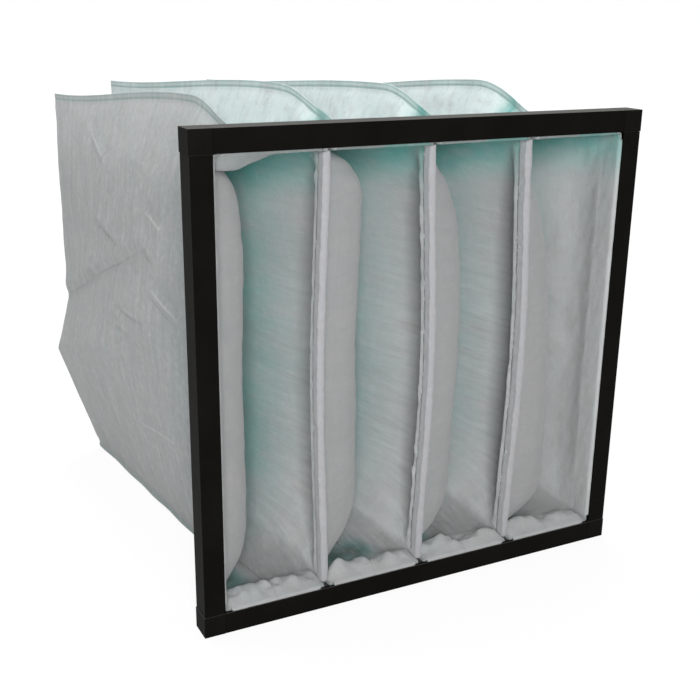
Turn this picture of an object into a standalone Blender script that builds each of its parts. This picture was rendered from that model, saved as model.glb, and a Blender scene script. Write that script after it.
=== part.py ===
"""Bag air filter: a square black plastic header that holds four open fabric pockets.

The filter stands on its header. Air enters through the header's window and leaves through the
pocket walls. Units are metres. +Z is up, +Y is the way the air flows and +X is to the right of
someone who looks into the pockets. The origin is the middle of the header's underside.
"""

import math

import bmesh
import bpy
import numpy as np
from mathutils import Vector

# Header
HEADER_SIZE = 0.592  # outer width and height of the square frame
HEADER_DEPTH = 0.031  # front face to rear face
FACE_WIDTH = 0.0265  # width of the frame as seen from the front
RAIL_WALL = 0.002  # wall of the channel that the rails are cut from
RAIL_EDGE_RADIUS = 0.0005
RAIL_EDGE_STEPS = 2
CORNER_PROUD = 0.0008  # the corner blocks stand this far outside the side rails
CORNER_EDGE_RADIUS = 0.0007
CORNER_EDGE_STEPS = 1
LEG_LENGTH = 0.022  # the corner blocks' legs reach this far into the rails
LEG_TAPER = 0.003  # length of the lead-in at a leg's tip
LEG_TAPER_SHARE = 0.82  # size of a leg's tip against its root
STRIP_WALL = 0.0016  # wall of the clamp strips inside the rails
SEAT_GAP = 0.0003  # gap between pieces that touch

# Dividers between the pocket mouths
ROD_DIAMETER = 0.0032
ROD_SETBACK = 0.0125  # centre of a rod behind the front face
ROD_SEAT_DEPTH = 0.008  # a rod's end reaches this far past the edge of the window
ROD_SIDES = 8
BINDING_WALL = 0.0009
BINDING_LEG = 0.0105  # how far a binding folds back over the pocket walls
BINDING_NOSE_STEPS = 5
DIVIDER_BOWS = (-0.0065, 0.009, 0.009)  # each divider's bend to the right at mid height

# Pockets
POCKET_COUNT = 4
POCKET_DEPTH = 0.615  # front face of the header to the folded rear edge
MEDIA_THICKNESS = 0.0034
RIM_REACH = 0.014  # the clamped rim of the fabric reaches this far into the rails
RIM_PRESS = 0.0005  # the clamped rim is pressed thinner than the wall by this much on each side
RIM_LAP = 0.006  # the rim runs on into the wall over this depth
RIM_END_GAP = 0.002  # the rim stops this far before the rounding at a corner of the mouth
CORNER_CUT = 0.0045  # size of the rounding where a pocket's side turns into its roof
GUSSET_LENGTH = 0.15  # depth over which the square mouth closes into a flat welded seam
BELLY_HALF_WIDTH = 0.046  # half width of a pocket behind its gusset
BELLY_TAPER = 2.2  # how late the pocket narrows towards its rear edge
LENS_POWER = 3.0  # 2 gives a lens of two arcs, more gives flatter walls
ROOF_LAG = 0.04  # the middle of the roof and of the floor stays flat this much further back
SEAM_WIDTH = 0.009  # welded strip along the top and the bottom of a pocket
SEAM_THICKNESS = 0.0022
SEAM_EDGE = 0.0018  # thickness of the strip at its free edge
SEAM_RAMP = 0.03  # depth over which the welded strip grows behind the header
FLOOR_GAP = 0.0006  # the lower welded strips stop this far above the surface they lie on
SEAM_ROOT = 0.0001  # height of the welded strip inside the header
SLIT = 0.0012  # gap left between the two walls where they are welded
REAR_ROUNDING = 0.45  # width of the folded rear edge against the pocket just before it
BOW_LENGTH = 0.042  # a wall that sags into its mouth sags most this far behind its straight part
LEAST_COSINE = 0.35  # limit on how thick a slanting wall is measured across the pocket

# Each pocket's own set, from left to right, as the slack fabric lies:
#   lean_top, lean_bottom: how far the rear edge lies to the left of the mouth
#   peak, peak_depth, rear_top: the upper seam above the header's centre, and where it is highest
#   bow_top, bow_bottom: how far the left wall sags to the right just behind the mouth
#   knee: how far the lower half buckles to the left at the rear
POCKET_SETS = (
    {"lean_top": 0.094, "lean_bottom": 0.060, "peak": 0.304, "peak_depth": 0.19, "rear_top": 0.274,
     "bow_top": 0.054, "bow_bottom": 0.050, "knee": 0.046},
    {"lean_top": 0.144, "lean_bottom": 0.090, "peak": 0.314, "peak_depth": 0.22, "rear_top": 0.291,
     "bow_top": 0.074, "bow_bottom": 0.070, "knee": 0.018},
    {"lean_top": 0.124, "lean_bottom": 0.080, "peak": 0.311, "peak_depth": 0.20, "rear_top": 0.290,
     "bow_top": 0.074, "bow_bottom": 0.066, "knee": 0.014},
    {"lean_top": 0.104, "lean_bottom": 0.066, "peak": 0.314, "peak_depth": 0.14, "rear_top": 0.280,
     "bow_top": 0.058, "bow_bottom": 0.082, "knee": 0.010},
)
LAST_BOW = 0.010  # sag of the last pocket's right wall, which no neighbour shares
BOW_ROLL_OFF = 4  # how late the sag fades towards the corners of the mouth

# The buckle in a pocket's lower half: a crease above it, a rounded knee and a slope below
KNEE_REAR = -0.115  # height of the knee at the rear edge, from the header's centre
KNEE_RISE = 0.16  # the knee lies this much higher at the front of the buckle
KNEE_START = 0.12  # depth at which the buckle starts
KNEE_UPPER = 0.078  # reach of the knee upwards, to the crease
KNEE_LOWER = 0.17  # reach of the knee downwards

# Mesh density of the pockets
WALL_STEPS = 10
ROOF_STEPS = 4
DEPTH_STEPS = 11
GUSSET_POWER = 1.6  # packs the sections closer together near the mouth

# Derived sizes
HALF_HEADER = HEADER_SIZE / 2
FRONT_Y = -HEADER_DEPTH / 2
HALF_WINDOW = HALF_HEADER - FACE_WIDTH
PITCH = 2 * HALF_WINDOW / POCKET_COUNT
RIM_DEPTH = RAIL_WALL + SEAT_GAP
STRIP_FRONT = RIM_DEPTH + MEDIA_THICKNESS + SEAT_GAP
STRIP_REAR = HEADER_DEPTH - RAIL_WALL - SEAT_GAP
STRIP_TOP = RAIL_WALL + SEAT_GAP
STRIP_FOOT = FACE_WIDTH - SEAT_GAP
ROD_RADIUS = ROD_DIAMETER / 2
EDGE_DEPTH = ROD_SETBACK + ROD_RADIUS + SEAT_GAP
MID_HALF_WIDTH = PITCH / 2 - SEAT_GAP - MEDIA_THICKNESS / 2
MID_HALF_HEIGHT = HALF_WINDOW - SEAT_GAP - MEDIA_THICKNESS / 2
HALF_GIRTH = MID_HALF_HEIGHT + MID_HALF_WIDTH
BINDING_END_DEPTH = EDGE_DEPTH + BINDING_LEG
BEND_LAG = 2 * MEDIA_THICKNESS

# Looks: colour, roughness
BLACK_RAIL = ((0.012, 0.012, 0.011), 0.42)
BLACK_BLOCK = ((0.016, 0.016, 0.015), 0.5)
BLACK_STRIP = ((0.014, 0.014, 0.014), 0.6)
BARE_WIRE = ((0.55, 0.56, 0.57), 0.35)
WHITE_HEM = ((0.72, 0.74, 0.75), 0.85)
MEDIA_WHITE = ((0.62, 0.68, 0.66), 0.95)


def clear_scene():
    """Take every object out of the scene."""
    for item in list(bpy.data.objects):
        bpy.data.objects.remove(item, do_unlink=True)


def make_material(name, look, metallic=0.0):
    """A Principled material of one colour and roughness."""
    colour, roughness = look
    material = bpy.data.materials.new(name)
    material.use_nodes = True
    shader = material.node_tree.nodes["Principled BSDF"]
    shader.inputs["Base Color"].default_value = (*colour, 1.0)
    shader.inputs["Roughness"].default_value = roughness
    shader.inputs["Metallic"].default_value = metallic
    return material


def add_object(name, bm, material, smooth_angle=None):
    """Turn a bmesh into a named object, with its faces turned outwards."""
    bmesh.ops.recalc_face_normals(bm, faces=bm.faces)
    if bm.calc_volume(signed=True) < 0:
        bmesh.ops.reverse_faces(bm, faces=bm.faces)
    mesh = bpy.data.meshes.new(name)
    bm.to_mesh(mesh)
    bm.free()
    mesh.materials.append(material)
    if smooth_angle is not None:
        mesh.shade_smooth()
        mesh.set_sharp_from_angle(angle=math.radians(smooth_angle))
    item = bpy.data.objects.new(name, mesh)
    bpy.context.scene.collection.objects.link(item)
    return item


def add_bevel(item, width, steps):
    """Round the square edges of a moulded or extruded piece."""
    bevel = item.modifiers.new("Edges", "BEVEL")
    bevel.width = width
    bevel.segments = steps
    bevel.limit_method = "ANGLE"


def add_boolean(item, other, operation):
    """Join or cut with a guide object that is itself left out of the model."""
    other.hide_render = True
    other.display_type = "WIRE"
    boolean = item.modifiers.new("Boolean", "BOOLEAN")
    boolean.object = other
    boolean.operation = operation
    boolean.solver = "EXACT"


def prism(section, stations, place):
    """Extrude a closed section through its stations; place turns (along, a, b) into a point."""
    return loft([(along, section) for along in stations], place)


def loft(stations, place):
    """Join the sections at their stations along a piece and close both ends."""
    bm = bmesh.new()
    rings = [[bm.verts.new(place(along, a, b)) for a, b in section] for along, section in stations]
    bm.faces.new(rings[0])
    bm.faces.new(list(reversed(rings[-1])))
    for near, far in zip(rings, rings[1:]):
        for i in range(len(near)):
            j = (i + 1) % len(near)
            bm.faces.new((near[i], near[j], far[j], far[i]))
    return bm


def box_section(low_a, high_a, low_b, high_b):
    """The four corners of a rectangular section."""
    return [(low_a, low_b), (high_a, low_b), (high_a, high_b), (low_a, high_b)]


def header_place(side):
    """Place for one side of the header.

    along runs to the right or up, inward is counted from the outer face towards the window
    and depth from the front face to the rear.
    """
    places = {
        "top": lambda along, inward, depth: Vector((along, FRONT_Y + depth, HEADER_SIZE - inward)),
        "bottom": lambda along, inward, depth: Vector((along, FRONT_Y + depth, inward)),
        "left": lambda along, inward, depth: Vector(
            (inward - HALF_HEADER, FRONT_Y + depth, HALF_HEADER + along)),
        "right": lambda along, inward, depth: Vector(
            (HALF_HEADER - inward, FRONT_Y + depth, HALF_HEADER + along)),
    }
    return places[side]


def divider_positions():
    """The X of each divider between two pockets."""
    return [-HALF_WINDOW + PITCH * (i + 1) for i in range(POCKET_COUNT - 1)]


def build_rail(side, material):
    """A channel that is open towards the window and runs between two corner blocks."""
    outer = CORNER_PROUD if side in ("left", "right") else 0.0
    rear = HEADER_DEPTH
    section = [
        (outer, 0.0), (FACE_WIDTH, 0.0), (FACE_WIDTH, RAIL_WALL), (outer + RAIL_WALL, RAIL_WALL),
        (outer + RAIL_WALL, rear - RAIL_WALL), (FACE_WIDTH, rear - RAIL_WALL),
        (FACE_WIDTH, rear), (outer, rear),
    ]
    half_length = HALF_WINDOW - SEAT_GAP
    bm = prism(section, (-half_length, half_length), header_place(side))
    rail = add_object(f"rail_{side}", bm, material)
    add_bevel(rail, RAIL_EDGE_RADIUS, RAIL_EDGE_STEPS)


def leg_mesh(side, towards):
    """A corner block's leg, with a tapered tip, that fills the end of a rail."""
    outer = CORNER_PROUD if side in ("left", "right") else 0.0
    root = box_section(outer + STRIP_TOP, STRIP_FOOT, STRIP_FRONT, STRIP_REAR)
    middle = (sum(p[0] for p in root) / 4, sum(p[1] for p in root) / 4)
    tip = [tuple(m + (v - m) * LEG_TAPER_SHARE for v, m in zip(p, middle)) for p in root]
    overlap = FACE_WIDTH / 4
    stations = ((HALF_WINDOW + overlap, root), (HALF_WINDOW - LEG_LENGTH + LEG_TAPER, root),
                (HALF_WINDOW - LEG_LENGTH, tip))
    return loft([(towards * along, outline) for along, outline in stations], header_place(side))


def build_corner(vertical, horizontal, material):
    """A moulded corner block: a solid square body with a leg into each of its two rails."""
    name = f"corner_{vertical}_{horizontal}"
    towards_x = -1 if horizontal == "left" else 1
    towards_z = -1 if vertical == "bottom" else 1
    section = box_section(0.0, FACE_WIDTH, 0.0, HEADER_DEPTH)
    ends = (towards_x * HALF_WINDOW, towards_x * HALF_HEADER)
    bm = prism(section, ends, header_place(vertical))
    block = add_object(name, bm, material)
    for side, towards in ((vertical, towards_x), (horizontal, towards_z)):
        guide = add_object(f"{name}_leg_{side}", leg_mesh(side, towards), material)
        add_boolean(block, guide, "UNION")
    add_bevel(block, CORNER_EDGE_RADIUS, CORNER_EDGE_STEPS)


def build_clamp_strip(side, material):
    """A channel inside the rail that presses the fabric's rim against the rail's front wall."""
    outer = CORNER_PROUD if side in ("left", "right") else 0.0
    top = outer + STRIP_TOP
    section = [
        (top, STRIP_FRONT), (STRIP_FOOT, STRIP_FRONT), (STRIP_FOOT, STRIP_REAR), (top, STRIP_REAR),
        (top, STRIP_REAR - STRIP_WALL), (STRIP_FOOT - STRIP_WALL, STRIP_REAR - STRIP_WALL),
        (STRIP_FOOT - STRIP_WALL, STRIP_FRONT + STRIP_WALL), (top, STRIP_FRONT + STRIP_WALL),
    ]
    half_length = HALF_WINDOW - LEG_LENGTH - SEAT_GAP
    bm = prism(section, (-half_length, half_length), header_place(side))
    strip = add_object(f"clamp_strip_{side}", bm, material)
    if side in ("top", "bottom"):
        for i in range(POCKET_COUNT - 1):
            add_boolean(strip, rod_hole(f"rod_hole_{side}_{i + 1}", side, i, material), "DIFFERENCE")


def round_section(radius, steps):
    """A closed ring of points round a rod's axis."""
    turns = [2 * math.pi * i / steps for i in range(steps)]
    return [(radius * math.cos(turn), radius * math.sin(turn)) for turn in turns]


def divider_bow(index, height):
    """How far a divider bends to the right, at a height above the header's centre."""
    level = np.clip(height / MID_HALF_HEIGHT, -1.0, 1.0)
    return DIVIDER_BOWS[index % len(DIVIDER_BOWS)] * (1 - level**2) ** 2


def side_heights():
    """The heights above the header's centre at which the pocket walls and the dividers have points."""
    side_end = MID_HALF_HEIGHT - CORNER_CUT
    return np.linspace(-side_end, side_end, WALL_STEPS)


def upright_place(index):
    """Place for a piece that stands on a divider: along is its height above the header's centre."""
    x = divider_positions()[index]
    return lambda along, a, b: Vector((
        x + divider_bow(index, along) + a, FRONT_Y + ROD_SETBACK + b, HALF_HEADER + along))


def rod_hole(name, side, index, material):
    """The guide that cuts a rod's hole through the web of a clamp strip."""
    web = HALF_HEADER - STRIP_FOOT + STRIP_WALL / 2
    middle = web if side == "top" else -web
    section = round_section(ROD_RADIUS + SEAT_GAP, ROD_SIDES)
    bm = prism(section, (middle - STRIP_WALL, middle + STRIP_WALL), upright_place(index))
    return add_object(name, bm, material)


def build_rod(index, material):
    """A wire that crosses the window, with both ends seated in the clamp strips."""
    reach = HALF_WINDOW + ROD_SEAT_DEPTH
    section = round_section(ROD_RADIUS, ROD_SIDES)
    bm = prism(section, (-reach, *side_heights(), reach), upright_place(index))
    add_object(f"divider_rod_{index + 1}", bm, material, smooth_angle=50)


def build_binding(index, material):
    """A hem folded round a rod and the front edges of two neighbouring pocket walls."""
    inner = SEAT_GAP + MEDIA_THICKNESS + SEAT_GAP
    outer = inner + BINDING_WALL
    nose = -(ROD_RADIUS + SEAT_GAP)
    rear = BINDING_END_DEPTH - ROD_SETBACK
    turns = [math.pi * i / BINDING_NOSE_STEPS for i in range(BINDING_NOSE_STEPS + 1)]
    # The nose is half an ellipse: as wide as the hem and as deep as the rod it folds round
    rise = ROD_RADIUS + SEAT_GAP
    outside = [(outer * math.cos(t), -(rise + BINDING_WALL) * math.sin(t)) for t in turns]
    inside = [(inner * math.cos(t), nose * math.sin(t)) for t in reversed(turns)]
    section = [(outer, rear)] + outside + [(-outer, rear), (-inner, rear)] + inside + [(inner, rear)]
    half_length = MID_HALF_HEIGHT - CORNER_CUT - 2 * SEAT_GAP
    stations = (-half_length, *side_heights()[1:-1], half_length)
    bm = prism(section, stations, upright_place(index))
    add_object(f"divider_binding_{index + 1}", bm, material, smooth_angle=50)


def smooth_step(value):
    """0 below 0, 1 above 1 and an S-curve between."""
    t = np.clip(value, 0.0, 1.0)
    return t * t * (3 - 2 * t)


def lerp(low, high, share):
    """The value that lies the given share of the way from low to high."""
    return low + (high - low) * share


class Pocket:
    """One pocket: a single folded sheet of fabric, welded along its top and its bottom.

    A point of the sheet has a depth behind the header's front face and a girth, the length of
    fabric between it and mid height, positive upwards. At the mouth the section is the
    rectangle of the pocket's bay. Behind the gusset it is a lens whose two walls meet at the
    seams, with each point the same share of the way up, as fabric that doesn't stretch.
    """

    def __init__(self, index):
        self.set = POCKET_SETS[index % len(POCKET_SETS)]
        self.centre = -HALF_WINDOW + PITCH * (index + 0.5)
        self.first = index == 0
        self.last = index == POCKET_COUNT - 1
        follower = POCKET_SETS[(index + 1) % len(POCKET_SETS)]
        self.right_bow = (LAST_BOW, LAST_BOW) if self.last else (
            follower["bow_top"], follower["bow_bottom"])
        self.index = index

    def seam_height(self, depth, upper):
        """Height of a seam's wall ends above the header's centre."""
        peak_depth = self.set["peak_depth"]
        if not upper:
            lowest = SEAM_WIDTH + FLOOR_GAP - HALF_HEADER + MEDIA_THICKNESS / 2
            return lerp(-MID_HALF_HEIGHT, lowest, smooth_step((depth - HEADER_DEPTH) / peak_depth))
        rise = smooth_step((depth - HEADER_DEPTH) / (peak_depth - HEADER_DEPTH))
        fall = smooth_step((depth - peak_depth) / (POCKET_DEPTH - peak_depth))
        crest = lerp(MID_HALF_HEIGHT, self.set["peak"], rise)
        return crest - (self.set["peak"] - self.set["rear_top"]) * fall

    def half_width(self, depth):
        """Half width of the lens, from its belly to the folded rear edge."""
        share = np.clip(depth / POCKET_DEPTH, 0.0, 1.0)
        folded = MEDIA_THICKNESS / 4
        return folded + (BELLY_HALF_WIDTH - folded) * (1 - share**BELLY_TAPER)

    def bow(self, depth, girth, side):
        """Sideways sag of a wall just behind the mouth: a quick rise and a slow fall.

        A right wall lies against its neighbour's left wall, so it sags a wall's bend later.
        """
        top, bottom = self.right_bow if side > 0 else (self.set["bow_top"], self.set["bow_bottom"])
        start = BINDING_END_DEPTH + (BEND_LAG if side > 0 else 0.0)
        ratio = np.clip((depth - start) / BOW_LENGTH, 0.0, None)
        level = np.clip(girth / MID_HALF_HEIGHT, -1.0, 1.0)
        amount = lerp(bottom, top, (level + 1) / 2) * (1 - np.abs(level) ** BOW_ROLL_OFF)
        return amount * (ratio * np.exp(1 - ratio)) ** 2

    def knee(self, depth, height):
        """Buckle to the left in the lower half, where the fabric is taller than its room."""
        share = np.clip((depth - KNEE_START) / (POCKET_DEPTH - KNEE_START), 0.0, 1.0)
        above = height - (KNEE_REAR + KNEE_RISE * (1 - share))
        fade = np.where(above > 0, above / KNEE_UPPER, -above / KNEE_LOWER)
        return self.set["knee"] * smooth_step(share) * np.clip(1 - fade, 0.0, 1.0)

    def centre_line(self, depth, height):
        """X of the pocket's middle plane, which leans and buckles to the left."""
        behind = np.clip((depth - HEADER_DEPTH) / (POCKET_DEPTH - HEADER_DEPTH), 0.0, 1.0)
        level = np.clip((height / HALF_HEADER + 1) / 2, 0.0, 1.0)
        lean = lerp(self.set["lean_bottom"], self.set["lean_top"], level) * behind
        return self.centre - lean - self.knee(depth, height)

    def closing(self, depth, girth):
        """How far the gusset has closed the square mouth into the lens, from 0 to 1.

        The middle of the roof and of the floor starts last, so each stays a flat triangle.
        """
        inward = np.clip((np.abs(girth) - MID_HALF_HEIGHT) / MID_HALF_WIDTH, 0.0, 1.0)
        return smooth_step((depth - HEADER_DEPTH - ROOF_LAG * inward) / GUSSET_LENGTH)

    def mouth_shift(self, girth, side):
        """How far the divider beside a wall bends to the right; a stile doesn't bend."""
        if self.first and side < 0 or self.last and side > 0:
            return 0 * girth
        return divider_bow(self.index if side > 0 else self.index - 1, girth)

    def middle(self, depth, girth, side):
        """Points in the middle of the fabric's thickness, as an array of X, Y, Z."""
        level = np.abs(girth) / HALF_GIRTH
        square_x = np.clip(HALF_GIRTH - np.abs(girth), 0.0, MID_HALF_WIDTH)
        square_z = np.clip(girth, -MID_HALF_HEIGHT, MID_HALF_HEIGHT)
        lens_x = self.half_width(depth) * (1 - level**LENS_POWER)
        up = (girth / HALF_GIRTH + 1) / 2
        lens_z = lerp(self.seam_height(depth, False), self.seam_height(depth, True), up)
        closing = self.closing(depth, girth)
        height = lerp(square_z, lens_z, closing)
        x = self.centre_line(depth, height) + side * lerp(square_x, lens_x, closing)
        x = x + self.bow(depth, girth, side) + self.mouth_shift(girth, side) * (1 - closing)
        return np.stack([x, FRONT_Y + depth + 0 * x, HALF_HEADER + height], axis=-1)

    def skin(self, depth, girth, side, facing):
        """Points on the outer (facing 1) or inner (facing -1) skin of a wall, in one section.

        Each lies half the fabric's thickness from its middle: square to the wall round the
        mouth, and sideways where the walls lie together. The two walls keep a slit between
        them at the seams, and their outer skins keep the seam's thickness.
        """
        step = MEDIA_THICKNESS / 4
        here = self.middle(depth, girth, side)
        along = self.middle(depth + step, girth, side) - self.middle(depth - step, girth, side)
        inside = np.clip(girth, step - HALF_GIRTH, HALF_GIRTH - step)
        across = self.middle(depth, inside + step, side) - self.middle(depth, inside - step, side)
        normal = np.cross(along, across) * side
        normal /= np.linalg.norm(normal, axis=-1, keepdims=True)
        sideways = self.closing(depth, girth)[..., None]
        shift = lerp(normal * (1.0, 0.0, 1.0), np.array([side, 0.0, 0.0]), sideways)
        shift /= np.linalg.norm(shift, axis=-1, keepdims=True)
        slant = np.maximum(np.sum(shift * normal, axis=-1, keepdims=True), LEAST_COSINE)
        points = here + shift / slant * facing * MEDIA_THICKNESS / 2
        plane = self.centre_line(depth, points[..., 2] - HALF_HEADER)
        plane = plane + (self.bow(depth, girth, 1) + self.bow(depth, girth, -1)) / 2
        least = SEAM_THICKNESS / 2 if facing > 0 else SLIT / 2
        away = np.maximum((points[..., 0] - plane) * side, least)
        points[..., 0] = plane + side * away
        return points


def girth_steps():
    """The girths at which a wall has points, from the lower seam to the upper one."""
    roof = np.linspace(MID_HALF_HEIGHT + CORNER_CUT, HALF_GIRTH, ROOF_STEPS)
    return np.concatenate([-roof[::-1], side_heights(), roof])


def depth_steps():
    """The depths of the sections: the straight part in the header, then closer together near it."""
    share = np.linspace(0.0, 1.0, DEPTH_STEPS) ** GUSSET_POWER
    behind = lerp(HEADER_DEPTH, POCKET_DEPTH - MEDIA_THICKNESS / 2, share)
    return np.concatenate([[EDGE_DEPTH, BINDING_END_DEPTH], behind, [POCKET_DEPTH]])


def skin_grid(pocket, side, facing):
    """All points of one skin of one wall, section by section from the mouth to the rear edge."""
    girth = girth_steps()
    inset = MEDIA_THICKNESS if facing < 0 else 0.0
    depths = depth_steps()
    depths = depths - inset * smooth_step((depths - HEADER_DEPTH) / (POCKET_DEPTH - HEADER_DEPTH))
    return np.array([pocket.skin(depth, girth, side, facing) for depth in depths])


def strip_grid(pocket, wall_ends, side, upper):
    """The free edge of a welded strip beside one wall, one point for each section."""
    edge = wall_ends.copy()
    depth = edge[:, 1] - FRONT_Y
    start = HEADER_DEPTH + ROOF_LAG
    height = lerp(SEAM_ROOT, SEAM_WIDTH, smooth_step((depth - start) / SEAM_RAMP))
    edge[:, 0] = pocket.centre_line(depth, edge[:, 2] - HALF_HEADER) + side * SEAM_EDGE / 2
    edge[:, 2] += height if upper else -height
    return edge


def round_rear(right, left):
    """Narrow the last section of two facing walls, for the rounding of the folded rear edge."""
    middle = (right[-1] + left[-1]) / 2
    for grid in (right, left):
        grid[-1] = lerp(middle, grid[-1], REAR_ROUNDING)


def bridge(bm, near, far, turned):
    """Triangles between two rings; from the turned one on they are split the other way.

    The two walls of a pocket are so split alike, and stay clear of each other where they are
    only a slit apart.
    """
    for i in range(len(near)):
        j = (i + 1) % len(near)
        if i < turned:
            bm.faces.new((near[i], near[j], far[j]))
            bm.faces.new((near[i], far[j], far[i]))
        else:
            bm.faces.new((near[i], near[j], far[i]))
            bm.faces.new((near[j], far[j], far[i]))


def close_mouth(bm, outer, inner, count):
    """Join the two skins round the mouth, in the plane of the fabric's front edge."""
    shift = len(outer) - len(inner)
    for i in range(count - 1):
        bm.faces.new((outer[i], outer[i + 1], inner[i + 1], inner[i]))
        j = count + i
        bm.faces.new((outer[j + shift // 2], outer[j + 1 + shift // 2], inner[j + 1], inner[j]))
    bm.faces.new((*outer[count - 1:count + 3], inner[count], inner[count - 1]))
    bm.faces.new((*outer[-3:], outer[0], inner[0], inner[-1]))


def build_rim(pocket, side, name, material):
    """The guide for the fabric's rim on one side of the mouth.

    It runs forward from the wall to the rail's front wall and turns out into the rail.
    """
    wall = FACE_WIDTH + SEAT_GAP
    section = [
        (FACE_WIDTH - RIM_REACH, RIM_DEPTH), (wall + MEDIA_THICKNESS - RIM_PRESS, RIM_DEPTH),
        (wall + MEDIA_THICKNESS - RIM_PRESS, EDGE_DEPTH + RIM_LAP),
        (wall + RIM_PRESS, EDGE_DEPTH + RIM_LAP), (wall + RIM_PRESS, RIM_DEPTH + MEDIA_THICKNESS),
        (FACE_WIDTH - RIM_REACH, RIM_DEPTH + MEDIA_THICKNESS),
    ]
    across = side in ("top", "bottom")
    half = (MID_HALF_WIDTH if across else MID_HALF_HEIGHT) - CORNER_CUT - RIM_END_GAP
    middle = pocket.centre if across else 0.0
    ends = (middle - half, middle + half)
    return add_object(name, prism(section, ends, header_place(side)), material)


def build_pocket(index, material):
    """Loft a pocket's outer and inner skins, close them and join the rims that the rails clamp."""
    pocket = Pocket(index)
    right, left = (skin_grid(pocket, side, 1) for side in (1, -1))
    inner_right, inner_left = (skin_grid(pocket, side, -1) for side in (1, -1))
    strips = [strip_grid(pocket, grid[:, end], side, end == -1)
              for grid, side, end in ((right, 1, -1), (left, -1, -1), (left, -1, 0), (right, 1, 0))]
    round_rear(right, left)
    # Round a section: up the right wall, over the upper strip, down the left, under the lower one
    outer = np.concatenate([right, strips[0][:, None], strips[1][:, None], left[:, ::-1],
                            strips[2][:, None], strips[3][:, None]], axis=1)
    inner = np.concatenate([inner_right, inner_left[:, ::-1]], axis=1)
    count = right.shape[1]
    bm = bmesh.new()
    rings = [[[bm.verts.new(p) for p in row] for row in grid] for grid in (outer, inner)]
    for rows in rings:
        for near, far in zip(rows, rows[1:]):
            bridge(bm, near, far, turned=count)
        bm.faces.new(rows[-1])
    close_mouth(bm, rings[0][0], rings[1][0], count)
    item = add_object(f"pocket_{index + 1}", bm, material, smooth_angle=50)
    sides = ["top", "bottom"] + ["left"] * pocket.first + ["right"] * pocket.last
    for side in sides:
        add_boolean(item, build_rim(pocket, side, f"{item.name}_rim_{side}", material), "UNION")


def build_filter():
    """Build every piece of the filter."""
    clear_scene()
    rail_black = make_material("rail_black", BLACK_RAIL)
    block_black = make_material("corner_black", BLACK_BLOCK)
    strip_black = make_material("strip_black", BLACK_STRIP)
    wire = make_material("divider_wire", BARE_WIRE, metallic=1.0)
    hem = make_material("hem_white", WHITE_HEM)
    media = make_material("filter_media", MEDIA_WHITE)
    for side in ("top", "bottom", "left", "right"):
        build_rail(side, rail_black)
        build_clamp_strip(side, strip_black)
    for vertical in ("top", "bottom"):
        for horizontal in ("left", "right"):
            build_corner(vertical, horizontal, block_black)
    for i in range(POCKET_COUNT - 1):
        build_rod(i, wire)
        build_binding(i, hem)
    for i in range(POCKET_COUNT):
        build_pocket(i, media)


build_filter()
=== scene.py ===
"""Looks of a four-pocket bag air filter: finishes for its black header, and detailed fabric.

The header's rails, corner blocks, clamp strips and wires are the frame's own pieces with new
finishes. The pockets and the hems between their mouths are modelled here as fabric: each surface
is a function of two lengths on the cloth, worked out as whole numpy arrays.
Units are metres. +Z is up, +Y is the way the air flows.
"""

import logging
import math
from dataclasses import dataclass, field, replace
from enum import Enum
from typing import Callable

import bpy
import numpy as np
from mathutils import Matrix, Vector


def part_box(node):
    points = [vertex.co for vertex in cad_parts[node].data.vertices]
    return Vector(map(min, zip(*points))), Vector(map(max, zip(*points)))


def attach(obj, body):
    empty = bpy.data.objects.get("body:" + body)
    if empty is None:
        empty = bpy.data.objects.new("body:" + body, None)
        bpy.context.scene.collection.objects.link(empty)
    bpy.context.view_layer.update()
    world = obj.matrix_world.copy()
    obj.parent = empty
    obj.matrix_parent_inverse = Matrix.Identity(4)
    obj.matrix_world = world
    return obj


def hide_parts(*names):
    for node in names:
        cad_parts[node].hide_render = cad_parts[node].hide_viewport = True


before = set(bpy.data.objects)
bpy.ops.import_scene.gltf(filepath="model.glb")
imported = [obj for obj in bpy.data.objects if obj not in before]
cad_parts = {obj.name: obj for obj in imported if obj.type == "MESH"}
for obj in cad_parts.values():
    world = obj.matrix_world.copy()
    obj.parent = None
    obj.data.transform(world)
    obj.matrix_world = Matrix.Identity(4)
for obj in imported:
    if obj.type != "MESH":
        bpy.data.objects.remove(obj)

log = logging.getLogger("bag_filter")
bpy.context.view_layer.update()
Array = np.ndarray


class Side(Enum):
    """The two walls of a pocket, seen by someone who looks into it."""

    LEFT = -1
    RIGHT = 1


class Skin(Enum):
    """The two faces of the fabric."""

    INSIDE = -1
    OUTSIDE = 1


# Curves that the fabric follows


def lerp(low: Array, high: Array, share: Array) -> Array:
    """The value that lies the given share of the way from low to high."""
    return low + (high - low) * share


def smooth_step(value: Array) -> Array:
    """0 below 0, 1 above 1 and an S-curve between: t squared times (3 - 2 t)."""
    t = np.clip(value, 0.0, 1.0)
    return t * t * (3 - 2 * t)


def bell(value: Array, middle: float, width: float) -> Array:
    """A bell curve of height 1: e to the power of minus the squared distance over width."""
    return np.exp(-(((value - middle) / width) ** 2))


def rounded_excess(value: Array, radius: float) -> Array:
    """How far a value is above 0, with the corner at 0 rounded off.

    It is 0 below -radius, the value itself above radius, and the parabola
    (value + radius) squared over 4 radii between, which meets both without a kink.
    """
    curve = (value + radius) ** 2 / (4 * radius)
    return np.where(value < -radius, 0.0, np.where(value > radius, value, curve))


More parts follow.
